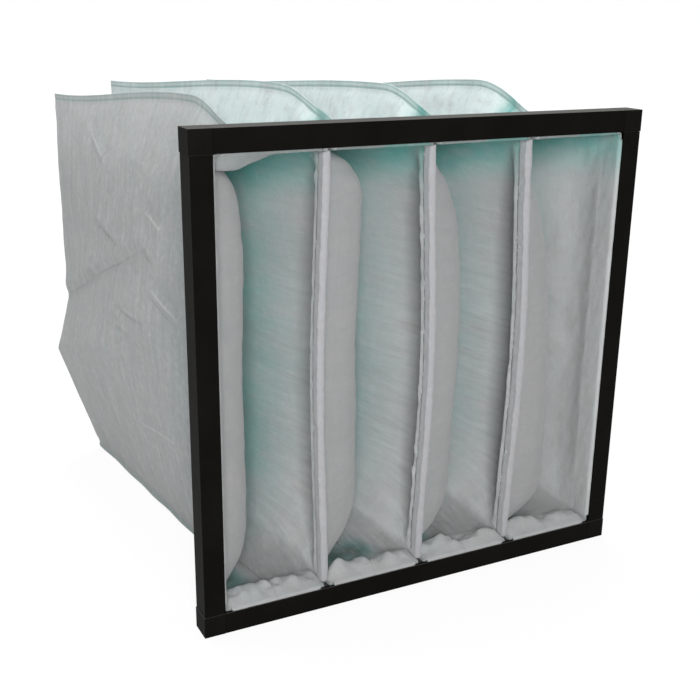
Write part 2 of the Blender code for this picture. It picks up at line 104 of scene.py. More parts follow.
def rumple(first: Array, second: Array, length: float, seed: int, waves: int = 9) -> Array:
    """Soft irregular waves over a cloth, between about -1 and 1.

    It is the mean of plane sine waves with seeded directions and phases, whose lengths lie
    round the given one.

    Args:
        first: one length on the cloth at each point.
        second: the other length on the cloth at each point.
        length: the typical wave length.
        seed: picks the waves.
        waves: how many are added.

    Returns:
        The height at each point.
    """
    random = np.random.default_rng(seed)
    turn = random.uniform(0.0, math.pi, waves)
    phase = random.uniform(0.0, 2 * math.pi, waves)
    number = 2 * math.pi / (length * random.uniform(0.65, 1.6, waves))
    total = 0.0 * (first + second)
    for k in range(waves):
        along = first * math.cos(turn[k]) + second * math.sin(turn[k])
        total = total + np.sin(number[k] * along + phase[k])
    return total / math.sqrt(2 * waves)


@dataclass(frozen=True)
class Header:
    """Sizes of the header, read from the frame."""

    front: float
    rear: float
    half_width: float
    height: float
    window: float

    @classmethod
    def from_frame(cls) -> "Header":
        """Measure the rails and the corner blocks of the frame.

        Returns:
            The header's sizes.
        """
        top_low, top_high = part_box("rail_top")
        block_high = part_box("corner_top_right")[1]
        return cls(top_low.y, top_high.y, block_high.x, block_high.z, top_high.z - top_low.z)

    @property
    def half_window(self) -> float:
        """Half the width of the square window."""
        return self.half_width - self.window


@dataclass(frozen=True)
class PocketSet:
    """How one slack pocket lies.

    The rear edge leans to the left of the mouth, the upper seam rises to a peak and falls, the
    left wall sags to the right just behind the mouth, and the lower half buckles to the left.
    A high roll keeps the sag wide until close to the roof or the floor. The lean is complete at
    the level full_lean, a share of the header's height. The painted shadow in the fold behind the
    floor runs across the share fold_reach of the mouth.
    """

    lean_top: float
    lean_bottom: float
    peak: float
    peak_depth: float
    rear_top: float
    bow_top: float
    bow_bottom: float
    knee: float
    roll_top: float
    roll_bottom: float
    full_lean: float
    fold_reach: float


@dataclass(frozen=True)
class Crease:
    """A short sharp fold in a wall, from one place on the cloth to another.

    A place is a depth behind the header's front and a girth above mid height. The cloth is
    drawn in by drop along the fold and stands up beside it. The fold's thin line, which is
    finer than the mesh, is left to the finish as a bump with a painted highlight on a ridge and
    painted shade in a groove: sharpness is its height, and below 0 its depth.
    """

    start: tuple[float, float]
    end: tuple[float, float]
    drop: float = 0.0014
    width: float = 0.0055
    sharpness: float = 0.6
    line: float = 0.0016

    def shape(self, depth: Array, girth: Array) -> Array:
        """Height of the cloth round the fold.

        With d the signed distance from the fold's line, it is a narrow bell at 0 pointing
        inwards and a wider one pointing outwards beside it, both fading past the ends.

        Args:
            depth: depth of each point.
            girth: girth of each point.

        Returns:
            The height, positive outwards.
        """
        run = np.subtract(self.end, self.start)
        length = float(np.hypot(*run))
        along = ((depth - self.start[0]) * run[0] + (girth - self.start[1]) * run[1]) / length
        across = ((girth - self.start[1]) * run[0] - (depth - self.start[0]) * run[1]) / length
        past = np.maximum(np.maximum(-along, along - length), 0.0)
        fade = np.exp(-((past / (2 * self.width)) ** 2))
        groove = -bell(across, 0.0, self.width)
        ridge = 0.75 * bell(across, -2.1 * self.width, 1.6 * self.width)
        return self.drop * fade * (groove + ridge)


@dataclass
class Cloth:
    """Sizes of the fabric that all four pockets share."""

    header: Header
    count: int = 4
    depth: float = 0.615
    thickness: float = 0.0034
    seat_gap: float = 0.0003
    rail_wall: float = 0.002
    rod_setback: float = 0.0125
    rod_radius: float = 0.0016
    hem_leg: float = 0.0105
    rim_reach: float = 0.0135
    rim_bend: float = 0.0026
    corner_round: float = 0.0024
    corner_block: float = 0.0065
    gusset: float = 0.15
    roof_lag: float = 0.008
    rise_power: float = 0.62
    belly: float = 0.046
    belly_taper: float = 2.2
    lens_power: float = 3.0
    seam_width: float = 0.009
    seam_thickness: float = 0.0022
    seam_ramp: float = 0.03
    seam_root: float = 0.0001
    floor_gap: float = 0.0006
    slit: float = 0.0012
    bow_length: float = 0.042
    least_roll: float = 4.0
    divider_bows: tuple[float, ...] = (-0.0065, 0.009, 0.009)

    @property
    def pitch(self) -> float:
        """Distance between two dividers."""
        return 2 * self.header.half_window / self.count

    @property
    def half_width(self) -> float:
        """Half width of a mouth, to the middle of the fabric."""
        return self.pitch / 2 - self.seat_gap - self.thickness / 2

    @property
    def half_height(self) -> float:
        """Half height of a mouth, to the middle of the fabric."""
        return self.header.half_window - self.seat_gap - self.thickness / 2

    @property
    def half_girth(self) -> float:
        """Length of fabric from mid height to a seam."""
        return self.half_height + self.half_width

    @property
    def header_depth(self) -> float:
        """Front face of the header to its rear face."""
        return self.header.rear - self.header.front

    @property
    def edge_depth(self) -> float:
        """Depth of the fabric's edge behind a wire."""
        return self.rod_setback + self.rod_radius + self.seat_gap

    @property
    def hem_end(self) -> float:
        """Depth at which a hem ends and the walls come free."""
        return self.edge_depth + self.hem_leg

    def divider_x(self, index: int) -> float:
        """X of a divider's ends."""
        return -self.header.half_window + self.pitch * (index + 1)

    def divider_bow(self, index: int, height: Array) -> Array:
        """Bend of a divider to the right: its bow times the square of (1 - level squared)."""
        level = np.clip(height / self.half_height, -1.0, 1.0)
        return self.divider_bows[index] * (1 - level**2) ** 2


def spread(low: float, high: float, count: int, closeness: Callable[[Array], Array]) -> Array:
    """Places from low to high that lie closer together where a function says so.

    The function's running sum, scaled to run from 0 to 1, is read backwards at even steps.

    Args:
        low: the first place.
        high: the last place.
        count: how many places.
        closeness: how closely places lie, for an array of places.

    Returns:
        The places, rising.
    """
    fine = np.linspace(low, high, 4000)
    total = np.cumsum(closeness(fine))
    total = (total - total[0]) / (total[-1] - total[0])
    return np.interp(np.linspace(0.0, 1.0, count), total, fine)


@dataclass
class Pocket:
    """One pocket: a folded sheet of non-woven fabric, welded along its top and its bottom.

    A point of the sheet has a depth behind the header's front face and a girth, the length of
    fabric between it and mid height, positive upwards. At the mouth the section is the
    rectangle of the pocket's bay. Behind the gusset it is a lens whose two walls meet at the
    seams, with each point the same share of the way up, as fabric that doesn't stretch.
    """

    index: int
    cloth: Cloth
    lie: PocketSet
    follower: PocketSet | None
    creases: tuple[Crease, ...] = ()
    last_bow: float = 0.010
    knee_rear: float = -0.115
    knee_rise: float = 0.16
    knee_start: float = 0.12
    knee_upper: float = 0.078
    knee_widening: float = 0.06
    knee_lower: float = 0.17
    flap_drop: float = 0.0
    tuck_depth: float = 0.150
    girth_count: int = 150
    wall_rows: int = 95
    lining_rows: int = 88
    strip_shares: tuple[float, ...] = (0.0, 0.1, 0.22, 0.5, 0.76, 0.88, 0.97, 1.0)
    rim_rows: int = 9
    rear_rows: int = 5
    centre: float = field(init=False)

    def __post_init__(self) -> None:
        """Place the pocket in its bay."""
        cloth = self.cloth
        self.centre = -cloth.header.half_window + cloth.pitch * (self.index + 0.5)

    @property
    def name(self) -> str:
        """Name of the pocket's node in the frame."""
        return f"pocket_{self.index + 1}"

    def is_outer(self, side: Side) -> bool:
        """Whether a wall lies beside a stile of the header and not beside a divider."""
        last = self.cloth.count - 1
        return self.index == 0 and side is Side.LEFT or self.index == last and side is Side.RIGHT

    def neighbour_divider(self, side: Side) -> int:
        """Number of the divider beside a wall."""
        return self.index if side is Side.RIGHT else self.index - 1

    # Rows and columns of the cloth

    def columns(self) -> Array:
        """Girths of the columns, with more of them round the corners of the mouth.

        Returns:
            The girths, rising.
        """
        cloth = self.cloth

        def closeness(girth: Array) -> Array:
            """Four times as close round a corner of the mouth, and closer at the seams."""
            from_seam = cloth.half_girth - np.abs(girth)
            return 1 + 5 * bell(np.abs(girth), cloth.half_height, 0.006) + bell(from_seam, 0.0, 0.012)

        return spread(-cloth.half_girth, cloth.half_girth, self.girth_count, closeness)

    def rows(self, skin: Skin) -> Array:
        """Depths of the rows behind the rim, closer together where the skin shows its folds.

        Args:
            skin: which face of the fabric.

        Returns:
            The depths, rising.
        """
        cloth = self.cloth
        outside = skin is Skin.OUTSIDE

        def closeness(depth: Array) -> Array:
            """The lining needs its rows near the mouth, the outer skin as far as the creases."""
            near = smooth_step((0.10 - depth) / 0.06)
            return 1 + near + smooth_step((0.46 - depth) / 0.05) if outside else 0.4 + 3.2 * near

        count = self.wall_rows if outside else self.lining_rows
        return spread(cloth.edge_depth + 0.0004, cloth.depth - 0.0026, count, closeness)

    # Shape of the sheet's middle

    def seam_height(self, depth: Array, upper: bool) -> Array:
        """Height of a seam above the header's centre.

        The lower seam falls from the mouth to the surface below along an S-curve. The upper
        one rises along an S-curve to its peak and falls along another to the rear.

        Args:
            depth: depth of each point behind the header's front.
            upper: whether it is the upper seam.

        Returns:
            The height at each depth.
        """
        cloth, lie = self.cloth, self.lie
        if not upper:
            half_header = cloth.header.height / 2
            lowest = cloth.seam_width + cloth.floor_gap - half_header + cloth.thickness / 2
            share = smooth_step((depth - cloth.header_depth) / lie.peak_depth)
            return lerp(-cloth.half_height, lowest, share)
        run = (depth - cloth.header_depth) / (lie.peak_depth - cloth.header_depth)
        rise = smooth_step(np.clip(run, 0.0, 1.0) ** cloth.rise_power)
        fall = smooth_step((depth - lie.peak_depth) / (cloth.depth - lie.peak_depth))
        return lerp(cloth.half_height, lie.peak, rise) - (lie.peak - lie.rear_top) * fall

    def lens_width(self, depth: Array) -> Array:
        """Half width of the lens: the belly's, less a power of the share of the depth.

        Args:
            depth: depth of each point behind the header's front.

        Returns:
            The half width at each depth.
        """
        cloth = self.cloth
        share = np.clip(depth / cloth.depth, 0.0, 1.0)
        folded = cloth.thickness / 4
        return folded + (cloth.belly - folded) * (1 - share**cloth.belly_taper)

    def bow(self, depth: Array, girth: Array, side: Side) -> Array:
        """Sideways sag of a wall just behind the mouth.

        With r the distance behind the hem over the bow's length, it is the square of
        r times e to the power of (1 - r): a quick rise and a slow fall.

        Args:
            depth: depth of each point behind the header's front.
            girth: girth of each point.
            side: which wall.

        Returns:
            How far each point moves to the right.
        """
        cloth = self.cloth
        lie = self.lie if side is Side.LEFT else self.follower
        top, bottom = (lie.bow_top, lie.bow_bottom) if lie else (self.last_bow, self.last_bow)
        start = cloth.hem_end + (2 * cloth.thickness if side is Side.RIGHT else 0.0)
        ratio = np.clip((depth - start) / cloth.bow_length, 0.0, None)
        level = np.clip(girth / cloth.half_height, -1.0, 1.0)
        roll = cloth.least_roll
        if side is Side.LEFT:
            roll = np.where(level > 0, self.lie.roll_top, self.lie.roll_bottom)
        amount = lerp(bottom, top, (level + 1) / 2) * (1 - np.abs(level) ** roll)
        return amount * (ratio * np.exp(1 - ratio)) ** 2

    def knee(self, depth: Array, height: Array) -> Array:
        """Buckle to the left in the lower half: a tent with its ridge along a sloping line.

        Args:
            depth: depth of each point behind the header's front.
            height: height of each point above the header's centre.

        Returns:
            How far each point moves to the left.
        """
        share = np.clip((depth - self.knee_start) / (self.cloth.depth - self.knee_start), 0.0, 1.0)
        above = height - (self.knee_rear + self.knee_rise * (1 - share))
        upper = self.knee_upper + self.knee_widening * (1 - share)
        fade = np.where(above > 0, above / upper, -above / self.knee_lower)
        return self.lie.knee * smooth_step(share) * np.clip(1 - fade, 0.0, 1.0)

    def centre_line(self, depth: Array, height: Array) -> Array:
        """X of the pocket's middle plane, which leans and buckles to the left.

        Args:
            depth: depth of each point behind the header's front.
            height: height of each point above the header's centre.

        Returns:
            The plane's X at each point.
        """
        cloth, lie = self.cloth, self.lie
        behind = (depth - cloth.header_depth) / (cloth.depth - cloth.header_depth)
        level = np.clip((height / (cloth.header.height / 2) + 1) / 2 / lie.full_lean, 0.0, 1.0)
        lean = lerp(lie.lean_bottom, lie.lean_top, level) * np.clip(behind, 0.0, 1.0)
        return self.centre - lean - self.knee(depth, height)

    def closing(self, depth: Array, girth: Array) -> Array:
        """How far the gusset has closed the square mouth into the lens, from 0 to 1.

        Args:
            depth: depth of each point behind the header's front.
            girth: girth of each point.

        Returns:
            The share at each point.
        """
        cloth = self.cloth
        inward = np.clip((np.abs(girth) - cloth.half_height) / cloth.half_width, 0.0, 1.0)
        start = cloth.header_depth + cloth.roof_lag * inward
        return smooth_step((depth - start) / cloth.gusset)

    def mouth_shift(self, girth: Array, side: Side) -> Array:
        """How far the divider beside a wall bends to the right; a stile doesn't bend.

        Args:
            girth: girth of each point.
            side: which wall.

        Returns:
            The shift to the right at each point.
        """
        if self.is_outer(side):
            return 0.0 * girth
        return self.cloth.divider_bow(self.neighbour_divider(side), girth)

    def undulation(self, depth: Array, girth: Array, side: Side) -> Array:
        """Sideways waves of a slack wall, which it shares with the wall on the other side of
        its divider, so that the two never meet. They fade in behind the hem.

        Args:
            depth: depth of each point behind the header's front.
            girth: girth of each point.
            side: which wall.

        Returns:
            How far each point moves to the right.
        """
        cloth = self.cloth
        free = smooth_step((depth - cloth.hem_end) / 0.07)
        edge = smooth_step((cloth.half_girth - np.abs(girth)) / 0.05)
        seed = 40 + self.neighbour_divider(side)
        broad = 0.0022 * rumple(depth, girth, 0.13, seed)
        fine = 0.0007 * rumple(depth, girth, 0.045, seed + 10)
        rear = smooth_step((cloth.depth - depth) / 0.08)
        return (broad + fine) * free * edge * lerp(0.35, 1.0, rear)

    def from_left(self, girth: Array, side: Side) -> Array:
        """Share of the way across the roof or the floor, from the left corner to the right.

        Args:
            girth: girth of each point.
            side: which wall.

        Returns:
            The share at each point.
        """
        cloth = self.cloth
        across = np.clip((np.abs(girth) - cloth.half_height) / cloth.half_width, 0.0, 1.0) / 2
        return across if side is Side.LEFT else 1 - across

    def roof_sag(self, depth: Array, girth: Array, side: Side) -> Array:
        """How far the flap behind the upper rail hangs down, most at the left stile.

        Args:
            depth: depth of each point behind the header's front.
            girth: girth of each point.
            side: which wall.

        Returns:
            The drop at each point.
        """
        beyond = girth - self.cloth.half_height
        left = np.clip((0.63 - self.from_left(girth, side)) / 0.39, 0.0, 1.0) ** 1.3
        along = smooth_step((depth - 0.005) / 0.014) * smooth_step((0.085 - depth) / 0.06)
        return self.flap_drop * left * along * smooth_step(beyond / 0.008)

    def middle(self, depth: Array, girth: Array, side: Side) -> Array:
        """Points in the middle of the fabric's thickness.

        The section is a mix of the mouth's rectangle and the lens. Height is the girth clipped
        to the rectangle, or its share between the two seams. Width is what the clipping leaves,
        or the lens's width times 1 minus a power of the level.

        Args:
            depth: depth of each point behind the header's front.
            girth: girth of each point.
            side: which wall.

        Returns:
            An array of X, Y, Z.
        """
        cloth = self.cloth
        towards = side.value
        over = rounded_excess(np.abs(girth) - cloth.half_height, cloth.corner_round)
        square_x = cloth.half_width - over
        square_z = np.sign(girth) * (np.abs(girth) - over)
        level = np.abs(girth) / cloth.half_girth
        lens_x = self.lens_width(depth) * (1 - level**cloth.lens_power)
        share = (girth / cloth.half_girth + 1) / 2
        lens_z = lerp(self.seam_height(depth, False), self.seam_height(depth, True), share)
        closing = self.closing(depth, girth)
        height = lerp(square_z, lens_z, closing)
        x = self.centre_line(depth, height) + towards * lerp(square_x, lens_x, closing)
        x = x + self.bow(depth, girth, side) + self.mouth_shift(girth, side) * (1 - closing)
        x = x + self.undulation(depth, girth, side)
        for crease in self.creases if side is Side.LEFT else ():
            x = x + towards * crease.shape(depth, girth)
        z = cloth.header.height / 2 + height - self.roof_sag(depth, girth, side)
        return np.stack([x, cloth.header.front + depth + 0 * x, z], axis=-1)

    def rim_forward(self, girth: Array, side: Side) -> Array:
        """How far the fabric's edge runs forward past the wires, from 0 to 1.

        It does so along the roof, the floor and a wall beside a stile.

        Args:
            girth: girth of each point.
            side: which wall.

        Returns:
            The share at each point.
        """
        if self.is_outer(side):
            return 1.0 + 0 * girth
        return smooth_step((np.abs(girth) - self.cloth.half_height) / 0.0018)

    def rim_outward(self, girth: Array, side: Side) -> tuple[Array, Array]:
        """How far the edge turns out into the rails, from 0 to 1, up or down and sideways.

        It stops short of the corners, where the corner blocks are.

        Args:
            girth: girth of each point.
            side: which wall.

        Returns:
            The shares upwards and sideways, negative downwards and to the left.
        """
        cloth = self.cloth
        beyond = np.abs(girth) - cloth.half_height
        upright = smooth_step((beyond - cloth.corner_block) / 0.006) * np.sign(girth)
        sideways = smooth_step((-beyond - cloth.corner_block) / 0.006) * side.value
        return upright, sideways if self.is_outer(side) else 0.0 * girth

    def rim_path(self) -> tuple[Array, Array]:
        """The edge of the fabric from its end in the rail to the window.

        It runs in from the rail, turns through a quarter circle and runs back.

        Returns:
            The distance out into the rail and the depth, at each row.
        """
        cloth = self.cloth
        front = cloth.rail_wall + cloth.seat_gap + cloth.thickness / 2
        turns = np.linspace(0.0, math.pi / 2, self.rim_rows - 3)
        out = np.concatenate([[cloth.rim_reach, cloth.rim_reach / 2],
                              cloth.rim_bend * (1 - np.sin(turns)), [0.0]])
        depth = np.concatenate([[front, front], front + cloth.rim_bend * (1 - np.cos(turns)),
                                [cloth.edge_depth - 0.002]])
        return out, depth + 0.00005 * np.arange(len(depth))

    def sheet(self, side: Side, skin: Skin) -> tuple[Array, Array, Array]:
        """The middle of a whole wall with its rim, with the rows that a skin needs.

        Args:
            side: which wall.
            skin: the face of the fabric that is made from it.

        Returns:
            The points, the depth of each row and the girth of each column, as full grids.
        """
        cloth = self.cloth
        girth = self.columns()[None, :]
        depth = self.rows(skin)[:, None]
        wall = self.middle(depth, girth, side)
        out, front = self.rim_path()
        packed = cloth.edge_depth + 0.00004 * (np.arange(len(out)) - len(out))[:, None] + 0.0003
        rim_depth = lerp(packed, front[:, None], self.rim_forward(girth, side))
        rim = self.middle(rim_depth, girth, side)
        upright, sideways = self.rim_outward(girth, side)
        rim[..., 0] += out[:, None] * sideways
        rim[..., 2] += out[:, None] * upright
        points = np.concatenate([rim, wall])
        depths = np.concatenate([rim_depth, depth + 0 * girth])
        return points, depths, girth + 0 * depths

    # Skins of the fabric

    def normals(self, points: Array, side: Side) -> Array:
        """Directions out of the pocket: the cross product of the grid's two slopes.

        Args:
            points: the middle of the fabric.
            side: which wall.

        Returns:
            A direction of length 1 at each point.
        """
        along = np.gradient(points, axis=0)
        up = np.gradient(points, axis=1)
        normal = np.cross(along, up) * side.value
        return normal / np.maximum(np.linalg.norm(normal, axis=-1, keepdims=True), 1e-12)

    def swelling(self, depth: Array, girth: Array, side: Side) -> Array:
        """How much the fluffy inner face stands up from the even thickness.

        It is puckered across the hem where the fabric is gathered, fluffed into a lumpy roll
        along the floor behind the lower rail, and slightly uneven all over.

        Args:
            depth: depth of each point behind the header's front.
            girth: girth of each point.
            side: which wall.

        Returns:
            The height at each point.
        """
        cloth = self.cloth
        seed = 70 + 2 * self.index + side.value
        beside = 0.0 if self.is_outer(side) else 1.0
        gathered = smooth_step((depth - cloth.hem_end) / 0.01) * smooth_step((0.13 - depth) / 0.1)
        slant = girth + 0.35 * depth
        pucker = rumple(0.35 * slant, slant, 0.020, seed) * rumple(0 * depth, girth, 0.11, seed + 9)
        wall = smooth_step((cloth.half_height - np.abs(girth)) / 0.02)
        height = 0.0011 * beside * gathered * pucker * wall
        below = -girth - cloth.half_height
        floor = smooth_step(below / 0.010) * smooth_step((depth - 0.004) / 0.01)
        place = self.from_left(girth, side)
        across = cloth.pitch * place
        lumps = 0.85 + 0.55 * rumple(depth, across, 0.040, 73 + self.index)
        lumps = lumps + 0.22 * rumple(depth, across, 0.016, 83 + self.index)
        roll = lerp(0.014, 0.008, place)
        height = height + roll * floor * bell(depth, 0.024, 0.014) * lumps
        away_from_seam = smooth_step((cloth.half_girth - np.abs(girth)) / 0.02)
        return height + 0.0004 * away_from_seam * rumple(depth, girth, 0.024, seed + 4)

    def skin(self, side: Side, skin: Skin) -> tuple[Array, Array, Array]:
        """One face of a wall.

        Each point lies half the fabric's thickness from its middle, along the normal, and the
        fabric thins towards the weld. The two walls keep a slit between them at the seams.

        Args:
            side: which wall.
            skin: which face of the fabric.

        Returns:
            The points, their depths and their girths.
        """
        cloth = self.cloth
        points, depth, girth = self.sheet(side, skin)
        from_seam = cloth.half_girth - np.abs(girth)
        pressed = lerp(cloth.seam_thickness / 2 - cloth.slit / 4, cloth.thickness,
                       smooth_step(from_seam / 0.014))
        thickness = lerp(cloth.thickness, pressed, self.closing(depth, girth))
        half = thickness / 2
        if skin is Skin.INSIDE:
            half = half + self.swelling(depth, girth, side)
        face = points + self.normals(points, side) * (skin.value * half)[..., None]
        height = face[..., 2] - cloth.header.height / 2
        plane = self.centre_line(depth, height)
        plane = plane + (self.bow(depth, girth, Side.RIGHT) + self.bow(depth, girth, Side.LEFT)) / 2
        least = cloth.seam_thickness / 2 if skin is Skin.OUTSIDE else cloth.slit / 2
        away = np.maximum((face[..., 0] - plane) * side.value, least)
        face[..., 0] = plane + side.value * away
        return face, depth, girth

    def strip(self, ends: Array, depth: Array, side: Side, upper: bool) -> Array:
        """Half of a welded strip, from the wall's end to its free edge.

        Its height grows along an S-curve behind the mouth. Its half thickness has two grooves,
        the weld lines, and rounds off at the free edge.

        Args:
            ends: the outer face's last column.
            depth: the depth of each row.
            side: which wall it continues.
            upper: whether it is the upper strip.

        Returns:
            A grid of rows by strip shares.
        """
        cloth = self.cloth
        share = np.array(self.strip_shares)[None, 1:]
        start = cloth.header_depth + cloth.roof_lag
        height = lerp(cloth.seam_root, cloth.seam_width, smooth_step((depth - start) / cloth.seam_ramp))
        grooves = bell(share, 0.16, 0.09) + bell(share, 0.84, 0.08)
        half = cloth.seam_thickness / 2 * (1 - 0.42 * grooves)
        half = half * np.sqrt(np.clip(1.02 - share**14, 0.02, 1.0))
        up = height[:, None] * share * (1 if upper else -1)
        wave = 0.0012 * rumple(depth[:, None], 0.0, 0.06, 90 + self.index) * share
        z = ends[:, None, 2] + up
        plane = self.centre_line(depth[:, None], ends[:, None, 2] - cloth.header.height / 2)
        middle = plane + wave * smooth_step((depth[:, None] - start) / cloth.seam_ramp)
        return np.stack([middle + side.value * half, ends[:, None, 1] + 0 * up, z], axis=-1)

    def rounded_rear(self, half: Array, other: Array) -> Array:
        """Add rows that round off the folded rear edge, through a quarter circle.

        Args:
            half: the outer face of one wall.
            other: the outer face of the other wall.

        Returns:
            The first face with the new rows.
        """
        middle = (half[-1] + other[-1]) / 2
        reach = half[-1] - middle
        radius = np.abs(reach[:, :1])
        turns = np.linspace(0.0, 1.35, self.rear_rows)[1:, None, None]
        rows = middle + reach * np.cos(turns)
        rows[..., 1:2] += radius * np.sin(turns)
        return np.concatenate([half, rows])

    def colouring(self, depth: Array, girth: Array, side: Side, skin: Skin) -> Array:
        """How green a point of the cloth is, from 0 to 1.

        The fabric is white where it faces the incoming air and green inside its layers. The green
        is painted light and shade where light comes through them: in the shade deep in the pocket,
        under the roof and in the fold behind the floor, and over the tops.

        Args:
            depth: depth of each point behind the header's front.
            girth: girth of each point.
            side: which wall.
            skin: which face of the fabric.

        Returns:
            The share at each point.
        """
        cloth = self.cloth
        if skin is Skin.OUTSIDE:
            near_header = smooth_step((0.26 - depth) / 0.22)
            if self.index == 0 and side is Side.LEFT:
                return 0.05 + 0.10 * near_header
            crest = smooth_step((girth - 0.24) / 0.05)
            # The tuck's green is painted shade in the gusset's pucker.
            tuck = crest * bell(depth, self.tuck_depth, 0.011)
            gusset = crest * smooth_step((self.tuck_depth - 0.014 - depth) / 0.02)
            return (0.24 + 0.08 * near_header) * (1 - 0.8 * gusset) + 0.7 * tuck
        # Painted shade in green deep in the pocket and under the roof
        deep = smooth_step((depth - 0.09) / 0.10)
        reach, first = (0.07, 0.0) if side is Side.RIGHT else (0.02, 0.05)
        under_roof = smooth_step((girth - cloth.half_height + reach) / reach)
        start = first + (0.018 if self.index == 0 else -0.02)
        roof = under_roof * smooth_step((depth - start) / 0.03)
        lowest = smooth_step((-girth - 0.17) / 0.12)
        # Painted shadow in green in the fold behind the floor
        fold = self.floor_fold_shadow(depth, girth, side)
        return np.clip(0.02 + lerp(0.62, 0.25, lowest) * deep + 0.85 * roof + fold, 0.0, 1.0)

    def floor_fold_shadow(self, depth: Array, girth: Array, side: Side) -> Array:
        """Painted shadow in the deep fold between the floor's roll and the wall behind it, from 0 to 1.

        Args:
            depth: depth of each point behind the header's front.
            girth: girth of each point.
            side: which wall.

        Returns:
            The painted shadow's strength at each point.
        """
        low = smooth_step((-girth - self.cloth.half_height + 0.006) / 0.008)
        reach = smooth_step((self.lie.fold_reach - self.from_left(girth, side)) / 0.25)
        return low * reach * bell(depth, 0.064, 0.022)

    def shading(self, depth: Array, girth: Array, side: Side, skin: Skin) -> Array:
        """How much painted shade darkens the cloth in its deep folds and under the upper rail, from 0 to 1.

        Args:
            depth: depth of each point behind the header's front.
            girth: girth of each point.
            side: which wall.
            skin: which face of the fabric.

        Returns:
            The painted shade at each point.
        """
        if skin is Skin.OUTSIDE:
            return 0.0 * depth
        # Painted shadow under the upper rail: over the first pocket's flap and roof, and just behind the
        # rail in the others.
        roof = smooth_step((girth - self.cloth.half_height + 0.002) / 0.004)
        if self.index == 0:
            roof = roof * lerp(0.18, 0.45, smooth_step(self.from_left(girth, side) / 0.4))
        else:
            roof = roof * 0.5 * smooth_step((0.012 - depth) / 0.006)
        return np.clip(self.floor_fold_shadow(depth, girth, side), roof, 1.0)

    def paleness(self, depth: Array, girth: Array, side: Side, skin: Skin) -> Array:
        """How much the cloth is paled by painted light, as where light comes through it from behind, from 0
        to 1.

        Args:
            depth: depth of each point behind the header's front.
            girth: girth of each point.
            side: which wall.
            skin: which face of the fabric.

        Returns:
            The paleness at each point.
        """
        if skin is Skin.INSIDE:
            on_wall = smooth_step((self.cloth.half_height - np.abs(girth)) / 0.01)
            # Painted light on the floor's roll just behind the lower rail
            below = smooth_step((-girth - self.cloth.half_height) / 0.004)
            floor = 0.20 * below * smooth_step((0.05 - depth) / 0.02)
            if side is Side.LEFT:
                return 0.04 + floor
            # Painted light: the lining beside a divider's ridge, the wrinkles of its crepe, and the whole
            # lining beside the right stile
            near_ridge = 0.3 if self.is_outer(side) else 0.5 * smooth_step((0.085 - depth) / 0.07)
            return 0.04 + floor + on_wall * (near_ridge + 0.25 * self.crepe(depth, girth, side, skin))
        # Painted light on the upper outer walls and over the tops
        if self.index == 0 and side is Side.LEFT:
            return 0.25 * smooth_step((girth - 0.18) / 0.15)
        return smooth_step((girth - 0.02) / 0.15)

    def crepe(self, depth: Array, girth: Array, side: Side, skin: Skin) -> Array:
        """How strongly the lining is wrinkled where it is gathered into a hem, from 0 to 1.

        Args:
            depth: depth of each point behind the header's front.
            girth: girth of each point.
            side: which wall.
            skin: which face of the fabric.

        Returns:
            The strength of the wrinkles at each point.
        """
        if skin is Skin.OUTSIDE or side is Side.LEFT or self.is_outer(side):
            return 0.0 * depth
        gathered = smooth_step((depth - 0.010) / 0.012) * smooth_step((0.19 - depth) / 0.11)
        return gathered * lerp(0.35, 1.0, smooth_step(0.9 - girth / 0.25))

    def sheet_origin(self, side: Side, skin: Skin) -> float:
        """Where a sheet's own girths start on the shared UV map, so that no two overlap."""
        return 10.0 * self.index + 2.0 * side.value + 5.0 * skin.value

    # Mesh

    def build(self, finish: bpy.types.Material) -> bpy.types.Object:
        """Join the skins, the strips and the rounded rear edge into one closed mesh.

        Args:
            finish: the fabric's material.

        Returns:
            The pocket's object.
        """
        weave = SheetMesh()
        halves, linings = {}, {}
        for side in (Side.RIGHT, Side.LEFT):
            face, depth, girth = self.skin(side, Skin.OUTSIDE)
            row_depth = face[:, 0, 1] - self.cloth.header.front
            lower = self.strip(face[:, 0], row_depth, side, False)[:, ::-1]
            upper = self.strip(face[:, -1], row_depth, side, True)
            halves[side] = [np.concatenate([lower, face, upper], axis=1), depth, girth]
            linings[side] = list(self.skin(side, Skin.INSIDE))
        right, left = halves[Side.RIGHT][0], halves[Side.LEFT][0]
        halves[Side.RIGHT][0] = self.rounded_rear(right, left)
        halves[Side.LEFT][0] = self.rounded_rear(left, right)
        steps = len(self.strip_shares) - 1
        grids = {}
        for skin, sheets in ((Skin.OUTSIDE, halves), (Skin.INSIDE, linings)):
            for side, (face, depth, girth) in sheets.items():
                extra = face.shape[0] - depth.shape[0]
                depth = np.pad(depth, ((0, extra), (0, 0)), mode="edge")
                girth = np.pad(girth, ((0, extra), (0, 0)), mode="edge")
                welded = np.zeros_like(depth)
                if skin is Skin.OUTSIDE:
                    depth, girth = (np.pad(a, ((0, 0), (steps, steps)), mode="edge") for a in (depth, girth))
                    shares = np.array(self.strip_shares)[1:]
                    lines = 0.15 + 1.5 * bell(shares, 0.16, 0.10) + 1.5 * bell(shares, 0.84, 0.08)
                    welded = np.pad(welded, ((0, 0), (steps, steps)))
                    welded[:, :steps], welded[:, -steps:] = lines[::-1], lines
                    welded = welded * smooth_step((depth - self.cloth.header_depth - 0.03) / 0.03)
                marks = {"tint": self.colouring(depth, girth, side, skin), "weld": welded,
                         "crepe": self.crepe(depth, girth, side, skin),
                         "pale": self.paleness(depth, girth, side, skin),
                         "shade": self.shading(depth, girth, side, skin),
                         "outer": 0 * depth + (skin is Skin.OUTSIDE)}
                sheet_u = girth + self.sheet_origin(side, skin)
                grids[skin, side] = weave.add(face, marks, sheet_u, depth)
        outer_right, outer_left = grids[Skin.OUTSIDE, Side.RIGHT], grids[Skin.OUTSIDE, Side.LEFT]
